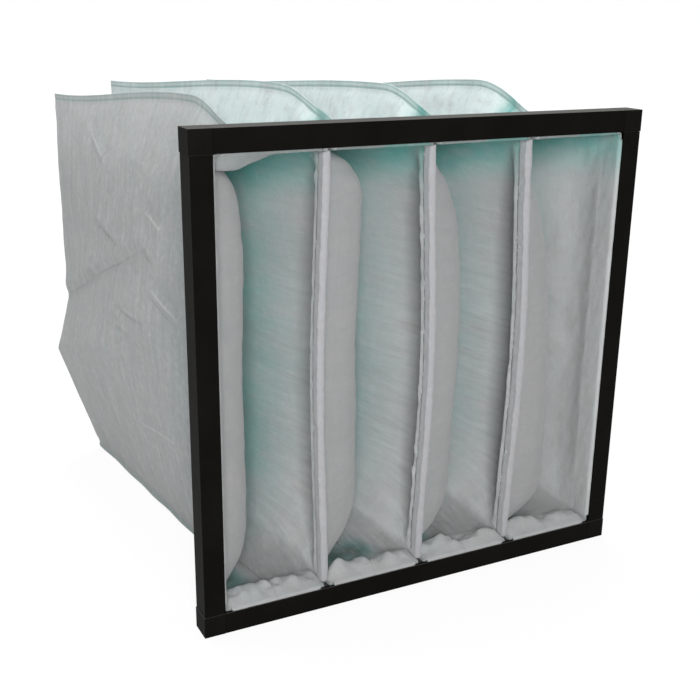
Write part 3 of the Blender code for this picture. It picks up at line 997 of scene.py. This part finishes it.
        inner_right, inner_left = grids[Skin.INSIDE, Side.RIGHT], grids[Skin.INSIDE, Side.LEFT]
        weave.fill(outer_right)
        weave.fill(outer_left, flip=True)
        weave.fill(inner_right, flip=True)
        weave.fill(inner_left)
        for first, second, flip in ((outer_right, outer_left, False), (inner_right, inner_left, True)):
            weave.bridge(first[:, -1], second[:, -1], flip)
            weave.bridge(first[:, 0], second[:, 0], not flip)
            weave.bridge(second[-1], first[-1], flip)
        mouth_right, mouth_left = outer_right[0], outer_left[0]
        weave.bridge(mouth_right[steps:-steps], inner_right[0], flip=False)
        weave.bridge(mouth_left[steps:-steps], inner_left[0], flip=True)
        top = [*mouth_right[-steps - 1:], *mouth_left[:-steps - 2:-1], inner_left[0, -1], inner_right[0, -1]]
        bottom = [*mouth_right[steps::-1], *mouth_left[:steps + 1], inner_left[0, 0], inner_right[0, 0]]
        weave.polygon(top)
        weave.polygon(bottom[::-1])
        item = weave.finish(f"{self.name}_fabric", finish)
        log.info("%s: %d faces", item.name, len(item.data.polygons))
        return item


class SheetMesh:
    """Collects grids of points and the faces between them, and makes one mesh of them."""

    def __init__(self) -> None:
        """Start with no points."""
        self.points: list[Array] = []
        self.values: dict[str, list[Array]] = {}
        self.places: list[Array] = []
        self.quads: list[Array] = []
        self.polygons: list[list[int]] = []
        self.count = 0

    def add(self, grid: Array, values: dict[str, Array], first: Array, second: Array) -> Array:
        """Add a grid of points.

        Args:
            grid: rows by columns by X, Y, Z.
            values: a number for each point, by attribute name.
            first: the first length on the cloth at each point.
            second: the second length on the cloth at each point.

        Returns:
            The index of each point, in the grid's shape.
        """
        shape = grid.shape[:2]
        index = np.arange(self.count, self.count + shape[0] * shape[1]).reshape(shape)
        self.count += index.size
        self.points.append(grid.reshape(-1, 3))
        for name, value in values.items():
            self.values.setdefault(name, []).append(np.broadcast_to(value, shape).ravel())
        self.places.append(np.stack([np.broadcast_to(first, shape).ravel(),
                                     np.broadcast_to(second, shape).ravel()], axis=-1))
        return index

    def fill(self, index: Array, flip: bool = False) -> None:
        """Faces over a grid: each joins a point to the next row's and the next column's."""
        quads = np.stack([index[:-1, :-1], index[1:, :-1], index[1:, 1:], index[:-1, 1:]], axis=-1)
        self._keep(quads.reshape(-1, 4), flip)

    def bridge(self, first: Array, second: Array, flip: bool = False) -> None:
        """Faces between two lines with the same number of points."""
        quads = np.stack([first[:-1], first[1:], second[1:], second[:-1]], axis=-1)
        self._keep(quads, flip)

    def polygon(self, index: list[int]) -> None:
        """One face with many corners."""
        self.polygons.append([int(i) for i in index])

    def _keep(self, quads: Array, flip: bool) -> None:
        """Keep faces, turned round where flip says so."""
        self.quads.append(quads[:, ::-1] if flip else quads)

    def finish(self, name: str, material: bpy.types.Material) -> bpy.types.Object:
        """Make the object, with its attributes, its UV map in metres and smooth shading.

        Args:
            name: the object's name.
            material: its only material.

        Returns:
            The object, in the scene.
        """
        mesh = bpy.data.meshes.new(name)
        faces = np.concatenate(self.quads).tolist() + self.polygons
        mesh.from_pydata(np.concatenate(self.points).tolist(), [], faces)
        for attribute, parts in self.values.items():
            layer = mesh.attributes.new(attribute, "FLOAT", "POINT")
            layer.data.foreach_set("value", np.concatenate(parts).astype(np.float32))
        corners = np.empty(len(mesh.loops), dtype=np.int32)
        mesh.loops.foreach_get("vertex_index", corners)
        places = np.concatenate(self.places)[corners].astype(np.float32)
        mesh.uv_layers.new(name="sheet").data.foreach_set("uv", places.ravel())
        mesh.materials.append(material)
        mesh.shade_smooth()
        mesh.update()
        item = bpy.data.objects.new(name, mesh)
        bpy.context.scene.collection.objects.link(item)
        return item


@dataclass
class Hem:
    """The white hem folded over a wire and the edges of two neighbouring walls."""

    index: int
    cloth: Cloth
    wall: float = 0.0009
    rows: int = 240
    nose_steps: int = 18
    leg_steps: int = 5

    @property
    def name(self) -> str:
        """Name of the hem's node in the frame."""
        return f"divider_binding_{self.index + 1}"

    def profile(self, width: float, rise: float, taper: float) -> Array:
        """A section: half an ellipse round the wire, with a leg on each side.

        Args:
            width: half width at the wire.
            rise: reach of the nose in front of the wire's centre.
            taper: how much each leg comes in towards its end.

        Returns:
            Points of across and depth, from the right leg's end to the left one's.
        """
        leg = self.cloth.hem_end - self.cloth.rod_setback
        turns = np.linspace(0.0, math.pi, self.nose_steps)
        nose = np.stack([width * np.cos(turns), -rise * np.sin(turns)], axis=-1)
        down = np.linspace(leg, 0.0, self.leg_steps, endpoint=False)
        right = np.stack([width - taper * (down / leg) ** 2, down], axis=-1)
        return np.concatenate([right, nose, right[::-1] * (-1, 1)])

    def build(self, finish: bpy.types.Material) -> bpy.types.Object:
        """Carry the section up the divider, with gathers that widen and narrow it.

        Args:
            finish: the hem's material.

        Returns:
            The hem's object.
        """
        cloth = self.cloth
        inner = 2 * cloth.seat_gap + cloth.thickness
        rise = cloth.rod_radius + cloth.seat_gap
        reach = cloth.half_height - cloth.thickness / 2 - cloth.seat_gap
        level = np.linspace(-reach, reach, self.rows)
        heights = cloth.header.height / 2 + level
        bow = cloth.divider_x(self.index) + cloth.divider_bow(self.index, level)
        seed = 120 + self.index
        weave = SheetMesh()
        grids = []
        for width, nose, grow in ((inner + self.wall, rise + self.wall, 1.0), (inner, rise, 0.0)):
            section = self.profile(width, nose, 0.8 * self.wall * grow)[None]
            gather = 0.00045 * rumple(heights, 0.0, 0.014, seed)
            gather = gather + 0.0005 * rumple(heights, 0.0, 0.06, seed + 4)
            swell = 1 + grow * (gather / width)[:, None]
            across = section[..., 0] * swell
            depth = section[..., 1] + 0.0003 * grow * rumple(heights, 0.0, 0.02, seed + 8)[:, None]
            x = bow[:, None] + across
            y = cloth.header.front + cloth.rod_setback + depth
            grid = np.stack([x, y, heights[:, None] + 0 * x], axis=-1)
            length = np.cumsum(np.hypot(*np.gradient(section[0], axis=0).T))[None]
            # Painted light pales the legs behind the nose; the constant crepe adds painted light and shade
            # of wrinkles.
            marks = {name: 0 * x for name in ("tint", "weld", "shade", "outer")}
            marks |= {"crepe": 0 * x + 0.4, "pale": 0.34 * smooth_step(section[..., 1] / 0.003) + 0 * x}
            grids.append(weave.add(grid, marks, heights[:, None] + 0 * x, length + 0 * x))
        outer, lining = grids
        weave.fill(outer)
        weave.fill(lining, flip=True)
        weave.bridge(outer[:, 0], lining[:, 0], flip=True)
        weave.bridge(outer[:, -1], lining[:, -1])
        weave.bridge(outer[0], lining[0])
        weave.bridge(outer[-1], lining[-1], flip=True)
        item = weave.finish(f"{self.name}_hem", finish)
        log.info("%s: %d faces", item.name, len(item.data.polygons))
        return item


# Shader maths


class Value:
    """A number in a shader, with Python's operators. Each operator adds a Math node."""

    def __init__(self, nodes: "NodeBench", socket: bpy.types.NodeSocket) -> None:
        """Wrap a node's output."""
        self.nodes = nodes
        self.socket = socket

    def _math(self, operation: str, *inputs: "Value | float") -> "Value":
        """Add a Math node and return its output."""
        node = self.nodes.add("ShaderNodeMath", {"operation": operation}, dict(enumerate(inputs)))
        return Value(self.nodes, node.outputs[0])

    def __add__(self, other: "Value | float") -> "Value":
        """The sum."""
        return self._math("ADD", self, other)

    __radd__ = __add__

    def __sub__(self, other: "Value | float") -> "Value":
        """The difference."""
        return self._math("SUBTRACT", self, other)

    def __rsub__(self, other: float) -> "Value":
        """The difference from a number."""
        return self._math("SUBTRACT", other, self)

    def __mul__(self, other: "Value | float") -> "Value":
        """The product."""
        return self._math("MULTIPLY", self, other)

    __rmul__ = __mul__

    def __pow__(self, other: float) -> "Value":
        """The power."""
        return self._math("POWER", self, other)

    def clamp(self) -> "Value":
        """The number kept between 0 and 1."""
        node = self.nodes.add("ShaderNodeClamp", {}, {"Value": self})
        return Value(self.nodes, node.outputs[0])

    def at_least(self, other: "Value | float") -> "Value":
        """The larger of two numbers."""
        return self._math("MAXIMUM", self, other)

    def ramp(self, low: float, high: float) -> "Value":
        """0 below low and 1 above high, with an S-curve between."""
        node = self.nodes.add("ShaderNodeMapRange", {"interpolation_type": "SMOOTHSTEP"},
                              {"Value": self, "From Min": low, "From Max": high})
        return Value(self.nodes, node.outputs[0])


class NodeBench:
    """Adds nodes to one node tree."""

    def __init__(self, tree: bpy.types.NodeTree) -> None:
        """Keep the tree."""
        self.tree = tree

    def add(self, kind: str, settings: dict | None = None, inputs: dict | None = None) -> bpy.types.Node:
        """Add a node.

        Args:
            kind: the node's type.
            settings: its settings, which are set first.
            inputs: values or links of its sockets, by name or number.

        Returns:
            The node.
        """
        node = self.tree.nodes.new(kind)
        for name, value in (settings or {}).items():
            setattr(node, name, value)
        for name, value in (inputs or {}).items():
            socket = node.inputs[name]
            source = value.socket if isinstance(value, Value) else value
            if isinstance(source, bpy.types.NodeSocket):
                self.tree.links.new(source, socket)
            else:
                socket.default_value = source
        return node

    def value(self, kind: str, settings: dict | None = None, inputs: dict | None = None,
              output: str | int = 0) -> Value:
        """Add a node and wrap one of its outputs as a number."""
        return Value(self, self.add(kind, settings, inputs).outputs[output])

    def attribute(self, name: str) -> Value:
        """A number kept on the mesh."""
        return self.value("ShaderNodeAttribute", {"attribute_name": name}, output="Fac")

    def stretched(self, source: bpy.types.NodeSocket, scale: tuple[float, float, float],
                  turn: float = 0.0) -> bpy.types.NodeSocket:
        """A place on the cloth, turned, with each direction scaled by itself."""
        turned = self.add("ShaderNodeMapping", {}, {"Vector": source, "Rotation": (0.0, 0.0, turn)})
        return self.add("ShaderNodeMapping", {}, {"Vector": turned.outputs[0], "Scale": scale}).outputs[0]

    def noise(self, place: bpy.types.NodeSocket, scale: float, detail: float = 3.0,
              roughness: float = 0.55) -> Value:
        """Cloudy noise between 0 and 1."""
        inputs = {"Vector": place, "Scale": scale, "Detail": detail, "Roughness": roughness}
        return self.value("ShaderNodeTexNoise", {}, inputs)

    def blend(self, share: Value | float, low: object, high: object) -> bpy.types.NodeSocket:
        """A colour between two others.

        Args:
            share: 0 for the first colour and 1 for the second.
            low: the first colour, as a socket or as numbers.
            high: the second colour.

        Returns:
            The mixed colour's socket.
        """
        node = self.add("ShaderNodeMix", {"data_type": "RGBA"}, {"Factor": share})
        for name, colour in (("A", low), ("B", high)):
            socket = next(s for s in node.inputs if s.name == name and s.type == "RGBA")
            if isinstance(colour, bpy.types.NodeSocket):
                self.tree.links.new(colour, socket)
            else:
                socket.default_value = (*colour, 1.0)
        return next(s for s in node.outputs if s.type == "RGBA")

    def bump(self, height: Value, distance: float, strength: float = 1.0,
             below: bpy.types.NodeSocket | None = None) -> bpy.types.NodeSocket:
        """A normal bent by a height map.

        Args:
            height: the height.
            distance: how many metres a height of 1 stands for.
            strength: the share of the bend that is kept.
            below: the normal that it starts from, if not the mesh's own.

        Returns:
            The normal's socket.
        """
        inputs = {"Height": height, "Distance": distance, "Strength": strength}
        if below is not None:
            inputs["Normal"] = below
        return self.add("ShaderNodeBump", {}, inputs).outputs[0]


def new_finish(name: str) -> tuple[bpy.types.Material, NodeBench, bpy.types.Node]:
    """A new material with its node bench and its Principled shader.

    Args:
        name: the material's name.

    Returns:
        The material, the bench and the shader's node.
    """
    material = bpy.data.materials.new(name)
    material.use_nodes = True
    bench = NodeBench(material.node_tree)
    return material, bench, material.node_tree.nodes["Principled BSDF"]


Colour = tuple[float, float, float]


@dataclass(frozen=True)
class NonWoven:
    """Thermally bonded polyester fleece: white, with green showing through its layers."""

    name: str
    white: Colour
    green: Colour
    weld_green: Colour
    backlit: Colour = (0.84, 0.87, 0.87)
    blush: Colour = (0.43, 0.39, 0.40)
    # Colour of the painted shade in deep folds and under the upper rail
    shadow_green: Colour = (0.055, 0.12, 0.105)
    # Lighter flecks of the fleece, and the painted highlight on the crepe's wrinkles
    fleck_and_wrinkle_highlight: Colour = (0.85, 0.86, 0.87)
    # Colour of the painted highlight along a crease's ridge
    crest: Colour = (0.8, 0.8, 0.8)
    roughness: float = 0.92
    streaks: float = 0.50
    creases: tuple[Crease, ...] = ()
    crease_origin: float = 0.0

    def crease_lines(self, bench: NodeBench, place: bpy.types.NodeSocket) -> Value:
        """Thin ridges along the creases, too fine for the mesh.

        Each falls from its sharpness to 0 over twice its line's width, by the distance to the
        nearest point of the crease: its start plus a share, kept between 0 and 1, of its run.
        It tapers to its ends by 4 times the share times (1 - share).

        Args:
            bench: where the nodes go.
            place: the girth and depth of the point on the cloth.

        Returns:
            The height of the lines, below 0 in a groove.
        """
        total = 0.0
        for crease in self.creases:
            run = np.subtract(crease.end, crease.start)[::-1]
            start = np.array(crease.start)[::-1] + (self.crease_origin, 0.0)
            scaled = run / float(run @ run)
            share = bench.value("ShaderNodeVectorMath", {"operation": "DOT_PRODUCT"},
                                {0: place, 1: (*scaled, 0.0)}, "Value")
            share = (share - float(start @ scaled)).clamp()
            nearest = bench.add("ShaderNodeVectorMath", {"operation": "MULTIPLY_ADD"},
                                {0: share, 1: (*run, 0.0), 2: (*start, 0.0)})
            away = bench.value("ShaderNodeVectorMath", {"operation": "DISTANCE"},
                               {0: place, 1: nearest.outputs[0]}, "Value")
            taper = share * (1.0 - share) * (4 * crease.sharpness)
            total = away.ramp(2 * crease.line, 0.0) * taper + total
        return total

    def make(self) -> bpy.types.Material:
        """Build the material on the cloth's own lengths.

        Fibres lie mostly along the girth, so streaks and fibre bump are noise stretched along
        it. The green follows the mesh's tint, broken up by clouds.

        Returns:
            The material.
        """
        material, bench, shader = new_finish(self.name)
        place = bench.add("ShaderNodeUVMap", {"uv_map": "sheet"}).outputs[0]
        tint, weld, crepe, pale = (bench.attribute(name) for name in ("tint", "weld", "crepe", "pale"))
        streak = bench.noise(bench.stretched(place, (9.0, 95.0, 1.0)), 1.0, 5.0, 0.65)
        blush = bench.noise(place, 34.0, 3.0, 0.6)
        wrinkle = bench.noise(bench.stretched(place, (125.0, 26.0, 1.0), 0.3), 1.0, 3.0, 0.6) * crepe
        clouds = bench.noise(place, 22.0, 4.0, 0.6)
        flocks = bench.noise(place, 110.0, 5.0, 0.7)
        fibres = bench.noise(bench.stretched(place, (60.0, 520.0, 1.0)), 1.0, 5.0, 0.7)
        greenness = (tint * (0.5 + 1.0 * clouds) + (clouds - 0.5) * 0.10 + (flocks - 0.5) * 0.08).clamp()
        # Painted light: the pale mark turns the white towards the backlit colour.
        base = bench.blend(pale, self.white, self.backlit)
        base = bench.blend(greenness, base, self.green)
        base = bench.blend((weld * 0.5).clamp(), base, self.weld_green)
        # Painted shade: the shade mark mixes in a dark green.
        base = bench.blend(bench.attribute("shade"), base, self.shadow_green)
        base = bench.blend(blush.ramp(0.45, 0.75) * 0.35, base, self.blush)
        outer = bench.attribute("outer")
        # Streaks, flocks and fibres are the fleece's own tone; the wrinkle term is painted light and shade
        # of the crepe's wrinkles, towards the lighter colour and towards a dark white.
        shade = (streak - 0.5) * self.streaks + (flocks - 0.5) * 0.5 + (fibres - 0.5) * 0.4
        shade = shade * (0.35 + 0.75 * outer) + (wrinkle - crepe * 0.5) * 0.6
        base = bench.blend((0.0 - shade).clamp(), base, tuple(0.3 * c for c in self.white))
        base = bench.blend(shade.clamp(), base, self.fleck_and_wrinkle_highlight)
        fuzz = fibres * (0.1 + 0.4 * outer) + flocks * 0.9 + streak * outer + wrinkle * 1.8
        normal = bench.bump(fuzz, 0.0014, 0.9)
        if self.creases:
            sharp = self.crease_lines(bench, place)
            # Painted highlight along each crease's ridge, in the crest colour, and painted shade in its
            # groove
            base = bench.blend((sharp * 0.30).clamp(), base, self.crest)
            base = bench.blend((sharp * -0.30).clamp(), base, tuple(0.4 * c for c in self.white))
            normal = bench.bump(sharp, 0.0014, 0.8, normal)
        bench.tree.links.new(base, shader.inputs["Base Color"])
        bench.tree.links.new(normal, shader.inputs["Normal"])
        rough = self.roughness - weld * 0.22
        bench.tree.links.new(rough.socket, shader.inputs["Roughness"])
        shader.inputs["Specular IOR Level"].default_value = 0.18
        shader.inputs["Sheen Weight"].default_value = 0.25
        shader.inputs["Sheen Roughness"].default_value = 0.6
        return material


@dataclass(frozen=True)
class MouldedPlastic:
    """Black plastic with a fine grain, specks, painted light on its upward faces and a satin surface."""

    name: str
    colour: Colour
    roughness: float
    grain: float
    specular: float = 0.3
    # The grey that painted light from above gives the upward faces
    dust_and_top_light: Colour = (0.30, 0.295, 0.28)
    speck: Colour = (0.30, 0.29, 0.27)

    def make(self) -> bpy.types.Material:
        """Build the material on object coordinates.

        Returns:
            The material.
        """
        material, bench, shader = new_finish(self.name)
        place = bench.add("ShaderNodeTexCoord").outputs["Object"]
        grain = bench.noise(place, 1400.0, 3.0, 0.6)
        smears = bench.noise(place, 14.0, 4.0, 0.6)
        dust_and_top_light = bench.noise(place, 420.0, 5.0, 0.75)
        specks = dust_and_top_light.ramp(0.66, 0.78)
        smeared = tuple(2.1 * c for c in self.colour)
        base = bench.blend(smears.ramp(0.35, 0.75) * 0.35, self.colour, smeared)
        base = bench.blend(specks * 0.16, base, self.speck)
        # Painted light from above: upward faces turn paler grey, in patches that follow the smears.
        facing = bench.add("ShaderNodeNewGeometry").outputs["Normal"]
        upward = bench.value("ShaderNodeSeparateXYZ", {}, {0: facing}, "Z").ramp(0.5, 0.9)
        base = bench.blend(upward * (0.12 + smears * 0.22), base, self.dust_and_top_light)
        bench.tree.links.new(base, shader.inputs["Base Color"])
        rough = self.roughness + (smears - 0.5) * 0.18 + specks * 0.12
        bench.tree.links.new(rough.socket, shader.inputs["Roughness"])
        bench.tree.links.new(bench.bump(grain, 0.00012, self.grain), shader.inputs["Normal"])
        shader.inputs["Specular IOR Level"].default_value = self.specular
        return material


@dataclass(frozen=True)
class DrawnWire:
    """Galvanised wire with the fine lines that drawing leaves along it."""

    name: str
    colour: Colour
    roughness: float = 0.34

    def make(self) -> bpy.types.Material:
        """Build the material on object coordinates, stretched up the wire.

        Returns:
            The material.
        """
        material, bench, shader = new_finish(self.name)
        place = bench.add("ShaderNodeTexCoord").outputs["Object"]
        lines = bench.noise(bench.stretched(place, (2600.0, 2600.0, 12.0)), 1.0, 3.0)
        spangle = bench.noise(place, 260.0, 2.0)
        base = bench.blend(spangle.ramp(0.3, 0.75), self.colour, tuple(0.72 * c for c in self.colour))
        bench.tree.links.new(base, shader.inputs["Base Color"])
        rough = self.roughness + (lines - 0.5) * 0.2
        bench.tree.links.new(rough.socket, shader.inputs["Roughness"])
        bench.tree.links.new(bench.bump(lines, 0.00005, 0.4), shader.inputs["Normal"])
        shader.inputs["Metallic"].default_value = 1.0
        return material


@dataclass(frozen=True)
class Finishes:
    """All finishes of the filter."""

    rail: MouldedPlastic = MouldedPlastic("rail_black", (0.0050, 0.0047, 0.0041), 0.5, 0.35, 0.015)
    corner: MouldedPlastic = MouldedPlastic("corner_black", (0.0062, 0.0059, 0.0053), 0.55, 0.6, 0.015)
    strip: MouldedPlastic = MouldedPlastic("strip_black", (0.005, 0.005, 0.005), 0.6, 0.3, 0.07)
    wire: DrawnWire = DrawnWire("divider_wire", (0.56, 0.57, 0.58))
    hem: NonWoven = NonWoven("hem_white", white=(0.42, 0.422, 0.44), green=(0.30, 0.48, 0.46),
                             weld_green=(0.3, 0.4, 0.4), streaks=0.12)
    media: NonWoven = NonWoven("filter_media", white=(0.340, 0.343, 0.346), green=(0.13, 0.42, 0.385),
                               weld_green=(0.11, 0.27, 0.24))


class HeaderDress:
    """Gives the header's own nodes their finishes."""

    def __init__(self, finishes: Finishes) -> None:
        """Make the header's materials."""
        self.by_prefix = {"rail_": finishes.rail.make(), "corner_": finishes.corner.make(),
                          "clamp_strip_": finishes.strip.make(), "divider_rod_": finishes.wire.make()}

    def dress(self) -> None:
        """Put each finish on the nodes whose names start with its prefix."""
        for name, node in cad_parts.items():
            for prefix, material in self.by_prefix.items():
                if name.startswith(prefix):
                    node.data.materials.clear()
                    node.data.materials.append(material)
                    log.info("%s: %s", name, material.name)


@dataclass(frozen=True)
class Softbox:
    """A square lamp that looks at a point."""

    name: str
    place: tuple[float, float, float]
    aim: tuple[float, float, float]
    size: float
    power: float

    def build(self) -> None:
        """Add the lamp to the scene."""
        lamp = bpy.data.lights.new(self.name, "AREA")
        lamp.shape = "SQUARE"
        lamp.size = self.size
        lamp.energy = self.power
        item = bpy.data.objects.new(self.name, lamp)
        towards = Vector(self.aim) - Vector(self.place)
        turn = towards.to_track_quat("-Z", "Y").to_matrix().to_4x4()
        item.matrix_world = Matrix.Translation(self.place) @ turn
        bpy.context.scene.collection.objects.link(item)


@dataclass
class Studio:
    """A pale floor, a white background, soft lamps and the camera."""

    eye: tuple[float, float, float] = (-0.6417, -1.0542, 0.7176)
    target: tuple[float, float, float] = (-0.10925, -0.0155, 0.33275)
    roll_degrees: float = 0.748
    focal_pixels: float = 1062.8
    frame_pixels: float = 700.0
    sensor_width: float = 36.0
    floor_half: float = 30.0
    ambient: float = 0.22
    floor_glow: float = 0.88
    glow_strength: float = 1.05
    lamps: tuple[Softbox, ...] = (
        Softbox("overhead", (0.3, 0.8, 2.5), (0.0, 0.2, 0.3), 2.0, 48.0),
        Softbox("front", (-1.1, -2.5, 1.3), (0.0, 0.0, 0.3), 1.0, 58.0),
        Softbox("upper_left", (-1.5, 0.9, 2.0), (-0.3, 0.3, 0.3), 0.6, 8.0),
    )

    def camera(self) -> None:
        """Place the camera: its rolled axes come from two cross products."""
        forward = (Vector(self.target) - Vector(self.eye)).normalized()
        right = forward.cross(Vector((0.0, 0.0, 1.0))).normalized()
        up = right.cross(forward)
        roll = math.radians(self.roll_degrees)
        across = right * math.cos(roll) + up * math.sin(roll)
        upright = up * math.cos(roll) - right * math.sin(roll)
        data = bpy.data.cameras.new("photo_view")
        data.lens = self.focal_pixels / self.frame_pixels * self.sensor_width
        data.sensor_width = self.sensor_width
        item = bpy.data.objects.new("photo_view", data)
        axes = Matrix((across, upright, -forward)).transposed().to_4x4()
        item.matrix_world = Matrix.Translation(self.eye) @ axes
        bpy.context.scene.collection.objects.link(item)
        bpy.context.scene.camera = item

    @staticmethod
    def seen_directly(bench: NodeBench) -> Value:
        """1 for rays from the camera, from a reflection or through glass.

        Args:
            bench: where the nodes go.

        Returns:
            The mask.
        """
        paths = bench.add("ShaderNodeLightPath")
        seen = Value(bench, paths.outputs["Is Camera Ray"])
        for name in ("Is Glossy Ray", "Is Transmission Ray"):
            seen = seen.at_least(Value(bench, paths.outputs[name]))
        return seen

    def world(self) -> None:
        """A white background, and plain soft light from all round."""
        world = bpy.data.worlds.new("studio")
        world.use_nodes = True
        bpy.context.scene.world = world
        bench = NodeBench(world.node_tree)
        background = world.node_tree.nodes["Background"]
        background.inputs["Color"].default_value = (1.0, 1.0, 1.0, 1.0)
        seen = self.seen_directly(bench)
        strength = self.ambient + seen * (1.0 - self.ambient)
        bench.tree.links.new(strength.socket, background.inputs["Strength"])

    def floor(self) -> None:
        """A pale floor that glows to the camera and keeps the filter's shadow."""
        steps = np.linspace(-self.floor_half, self.floor_half, 9)
        x, y = np.meshgrid(steps, steps, indexing="ij")
        material = bpy.data.materials.new("studio_floor")
        material.use_nodes = True
        tree = material.node_tree
        tree.nodes.clear()
        bench = NodeBench(tree)
        matt = bench.add("ShaderNodeBsdfDiffuse", {}, {"Color": (0.8, 0.8, 0.8, 1.0)})
        glow = bench.add("ShaderNodeEmission", {}, {"Strength": self.glow_strength})
        radius = bench.add("ShaderNodeVectorMath", {"operation": "LENGTH"},
                           {0: bench.add("ShaderNodeTexCoord").outputs["Object"]})
        far = Value(bench, radius.outputs["Value"]).ramp(0.9, 2.2)
        share = self.seen_directly(bench) * (self.floor_glow + far * (1.0 - self.floor_glow))
        mix = bench.add("ShaderNodeMixShader", {}, {0: share, 1: matt.outputs[0], 2: glow.outputs[0]})
        bench.add("ShaderNodeOutputMaterial", {}, {"Surface": mix.outputs[0]})
        sheet = SheetMesh()
        index = sheet.add(np.stack([x, y, 0 * x], axis=-1), {}, x, y)
        sheet.fill(index)
        sheet.finish("studio_floor", material)

    def build(self) -> None:
        """Set up the whole studio."""
        self.camera()
        self.world()
        self.floor()
        for lamp in self.lamps:
            lamp.build()
        bpy.context.scene.view_settings.view_transform = "Standard"


LIES = (
    PocketSet(lean_top=0.094, lean_bottom=0.06, peak=0.304, peak_depth=0.19, rear_top=0.274,
              bow_top=0.054, bow_bottom=0.05, knee=0.032, roll_top=10.0,
              roll_bottom=11.0, full_lean=0.44, fold_reach=0.45),
    PocketSet(lean_top=0.144, lean_bottom=0.09, peak=0.314, peak_depth=0.22, rear_top=0.291,
              bow_top=0.074, bow_bottom=0.07, knee=0.018, roll_top=14.0,
              roll_bottom=8.0, full_lean=1.0, fold_reach=0.8),
    PocketSet(lean_top=0.124, lean_bottom=0.08, peak=0.311, peak_depth=0.2, rear_top=0.29,
              bow_top=0.074, bow_bottom=0.068, knee=0.014, roll_top=5.0,
              roll_bottom=14.0, full_lean=1.0, fold_reach=0.4),
    PocketSet(lean_top=0.104, lean_bottom=0.066, peak=0.314, peak_depth=0.14, rear_top=0.28,
              bow_top=0.058, bow_bottom=0.096, knee=0.01, roll_top=4.0,
              roll_bottom=20.0, full_lean=1.0, fold_reach=0.45),
)

OUTER_WALL_CREASES = (
    Crease((0.431, 0.142), (0.335, 0.115), 0.0020, sharpness=0.5),
    Crease((0.413, 0.137), (0.343, 0.112), sharpness=-0.7),
    Crease((0.252, 0.179), (0.201, 0.158), -0.0020, sharpness=0.9),
    Crease((0.243, 0.186), (0.224, 0.171), sharpness=-0.6),
    Crease((0.264, 0.122), (0.221, 0.107), sharpness=-0.8),
    Crease((0.329, 0.017), (0.230, 0.013), sharpness=-0.8),
    Crease((0.320, 0.024), (0.240, 0.021), 0.0, sharpness=0.6),
    Crease((0.347, -0.002), (0.281, -0.009)),
    Crease((0.345, -0.010), (0.285, -0.016), 0.0, sharpness=-0.7),
    Crease((0.227, 0.075), (0.157, 0.037), -0.0026, sharpness=1.0),
    Crease((0.232, 0.066), (0.165, 0.028), 0.0, sharpness=-0.7),
    Crease((0.312, -0.162), (0.175, -0.153), -0.0020, sharpness=0.7),
    Crease((0.600, -0.020), (0.450, 0.045), 0.0030, 0.009, -0.5),
    Crease((0.450, 0.045), (0.264, 0.119), 0.0034, 0.009, -0.6),
    Crease((0.470, 0.290), (0.400, 0.235), -0.0020, sharpness=0.8),
    Crease((0.462, 0.272), (0.405, 0.226), 0.0, sharpness=-0.6),
    Crease((0.395, 0.270), (0.425, 0.225), sharpness=-0.6),
    Crease((0.540, 0.190), (0.470, 0.150), 0.0010, sharpness=0.4),
    Crease((0.300, 0.240), (0.255, 0.215), 0.0010, sharpness=0.5),
)

# The pucker in the gusset of pockets 2 to 4, behind the upper rail
TUCK = Crease((0.118, 0.262), (0.124, 0.330), 0.0065, 0.0070)


def main() -> None:
    """Dress the frame, build the fabric and set up the studio."""
    logging.basicConfig(level=logging.INFO, format="%(message)s")
    finishes = Finishes()
    HeaderDress(finishes).dress()
    cloth = Cloth(Header.from_frame())
    hem_white = finishes.hem.make()
    outer_wall = Pocket(0, cloth, LIES[0], LIES[1]).sheet_origin(Side.LEFT, Skin.OUTSIDE)
    media = replace(finishes.media, creases=OUTER_WALL_CREASES, crease_origin=outer_wall).make()
    for index, lie in enumerate(LIES):
        follower = LIES[index + 1] if index + 1 < len(LIES) else None
        first = index == 0
        creases = OUTER_WALL_CREASES if first else (TUCK,)
        pocket = Pocket(index, cloth, lie, follower, creases, flap_drop=0.017 if first else 0.0,
                        wall_rows=140 if first else 110, tuck_depth=TUCK.start[0])
        item = pocket.build(media)
        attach(item, "root")
        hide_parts(pocket.name)
        2 * cloth.depth
        2 * cloth.half_girth
    for index in range(cloth.count - 1):
        hem = Hem(index, cloth)
        item = hem.build(hem_white)
        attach(item, "root")
        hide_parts(hem.name)
        low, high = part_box(hem.name)
        2 * cloth.hem_leg + math.pi * cloth.thickness
    Studio().build()


if __name__ == "__main__":
    main()
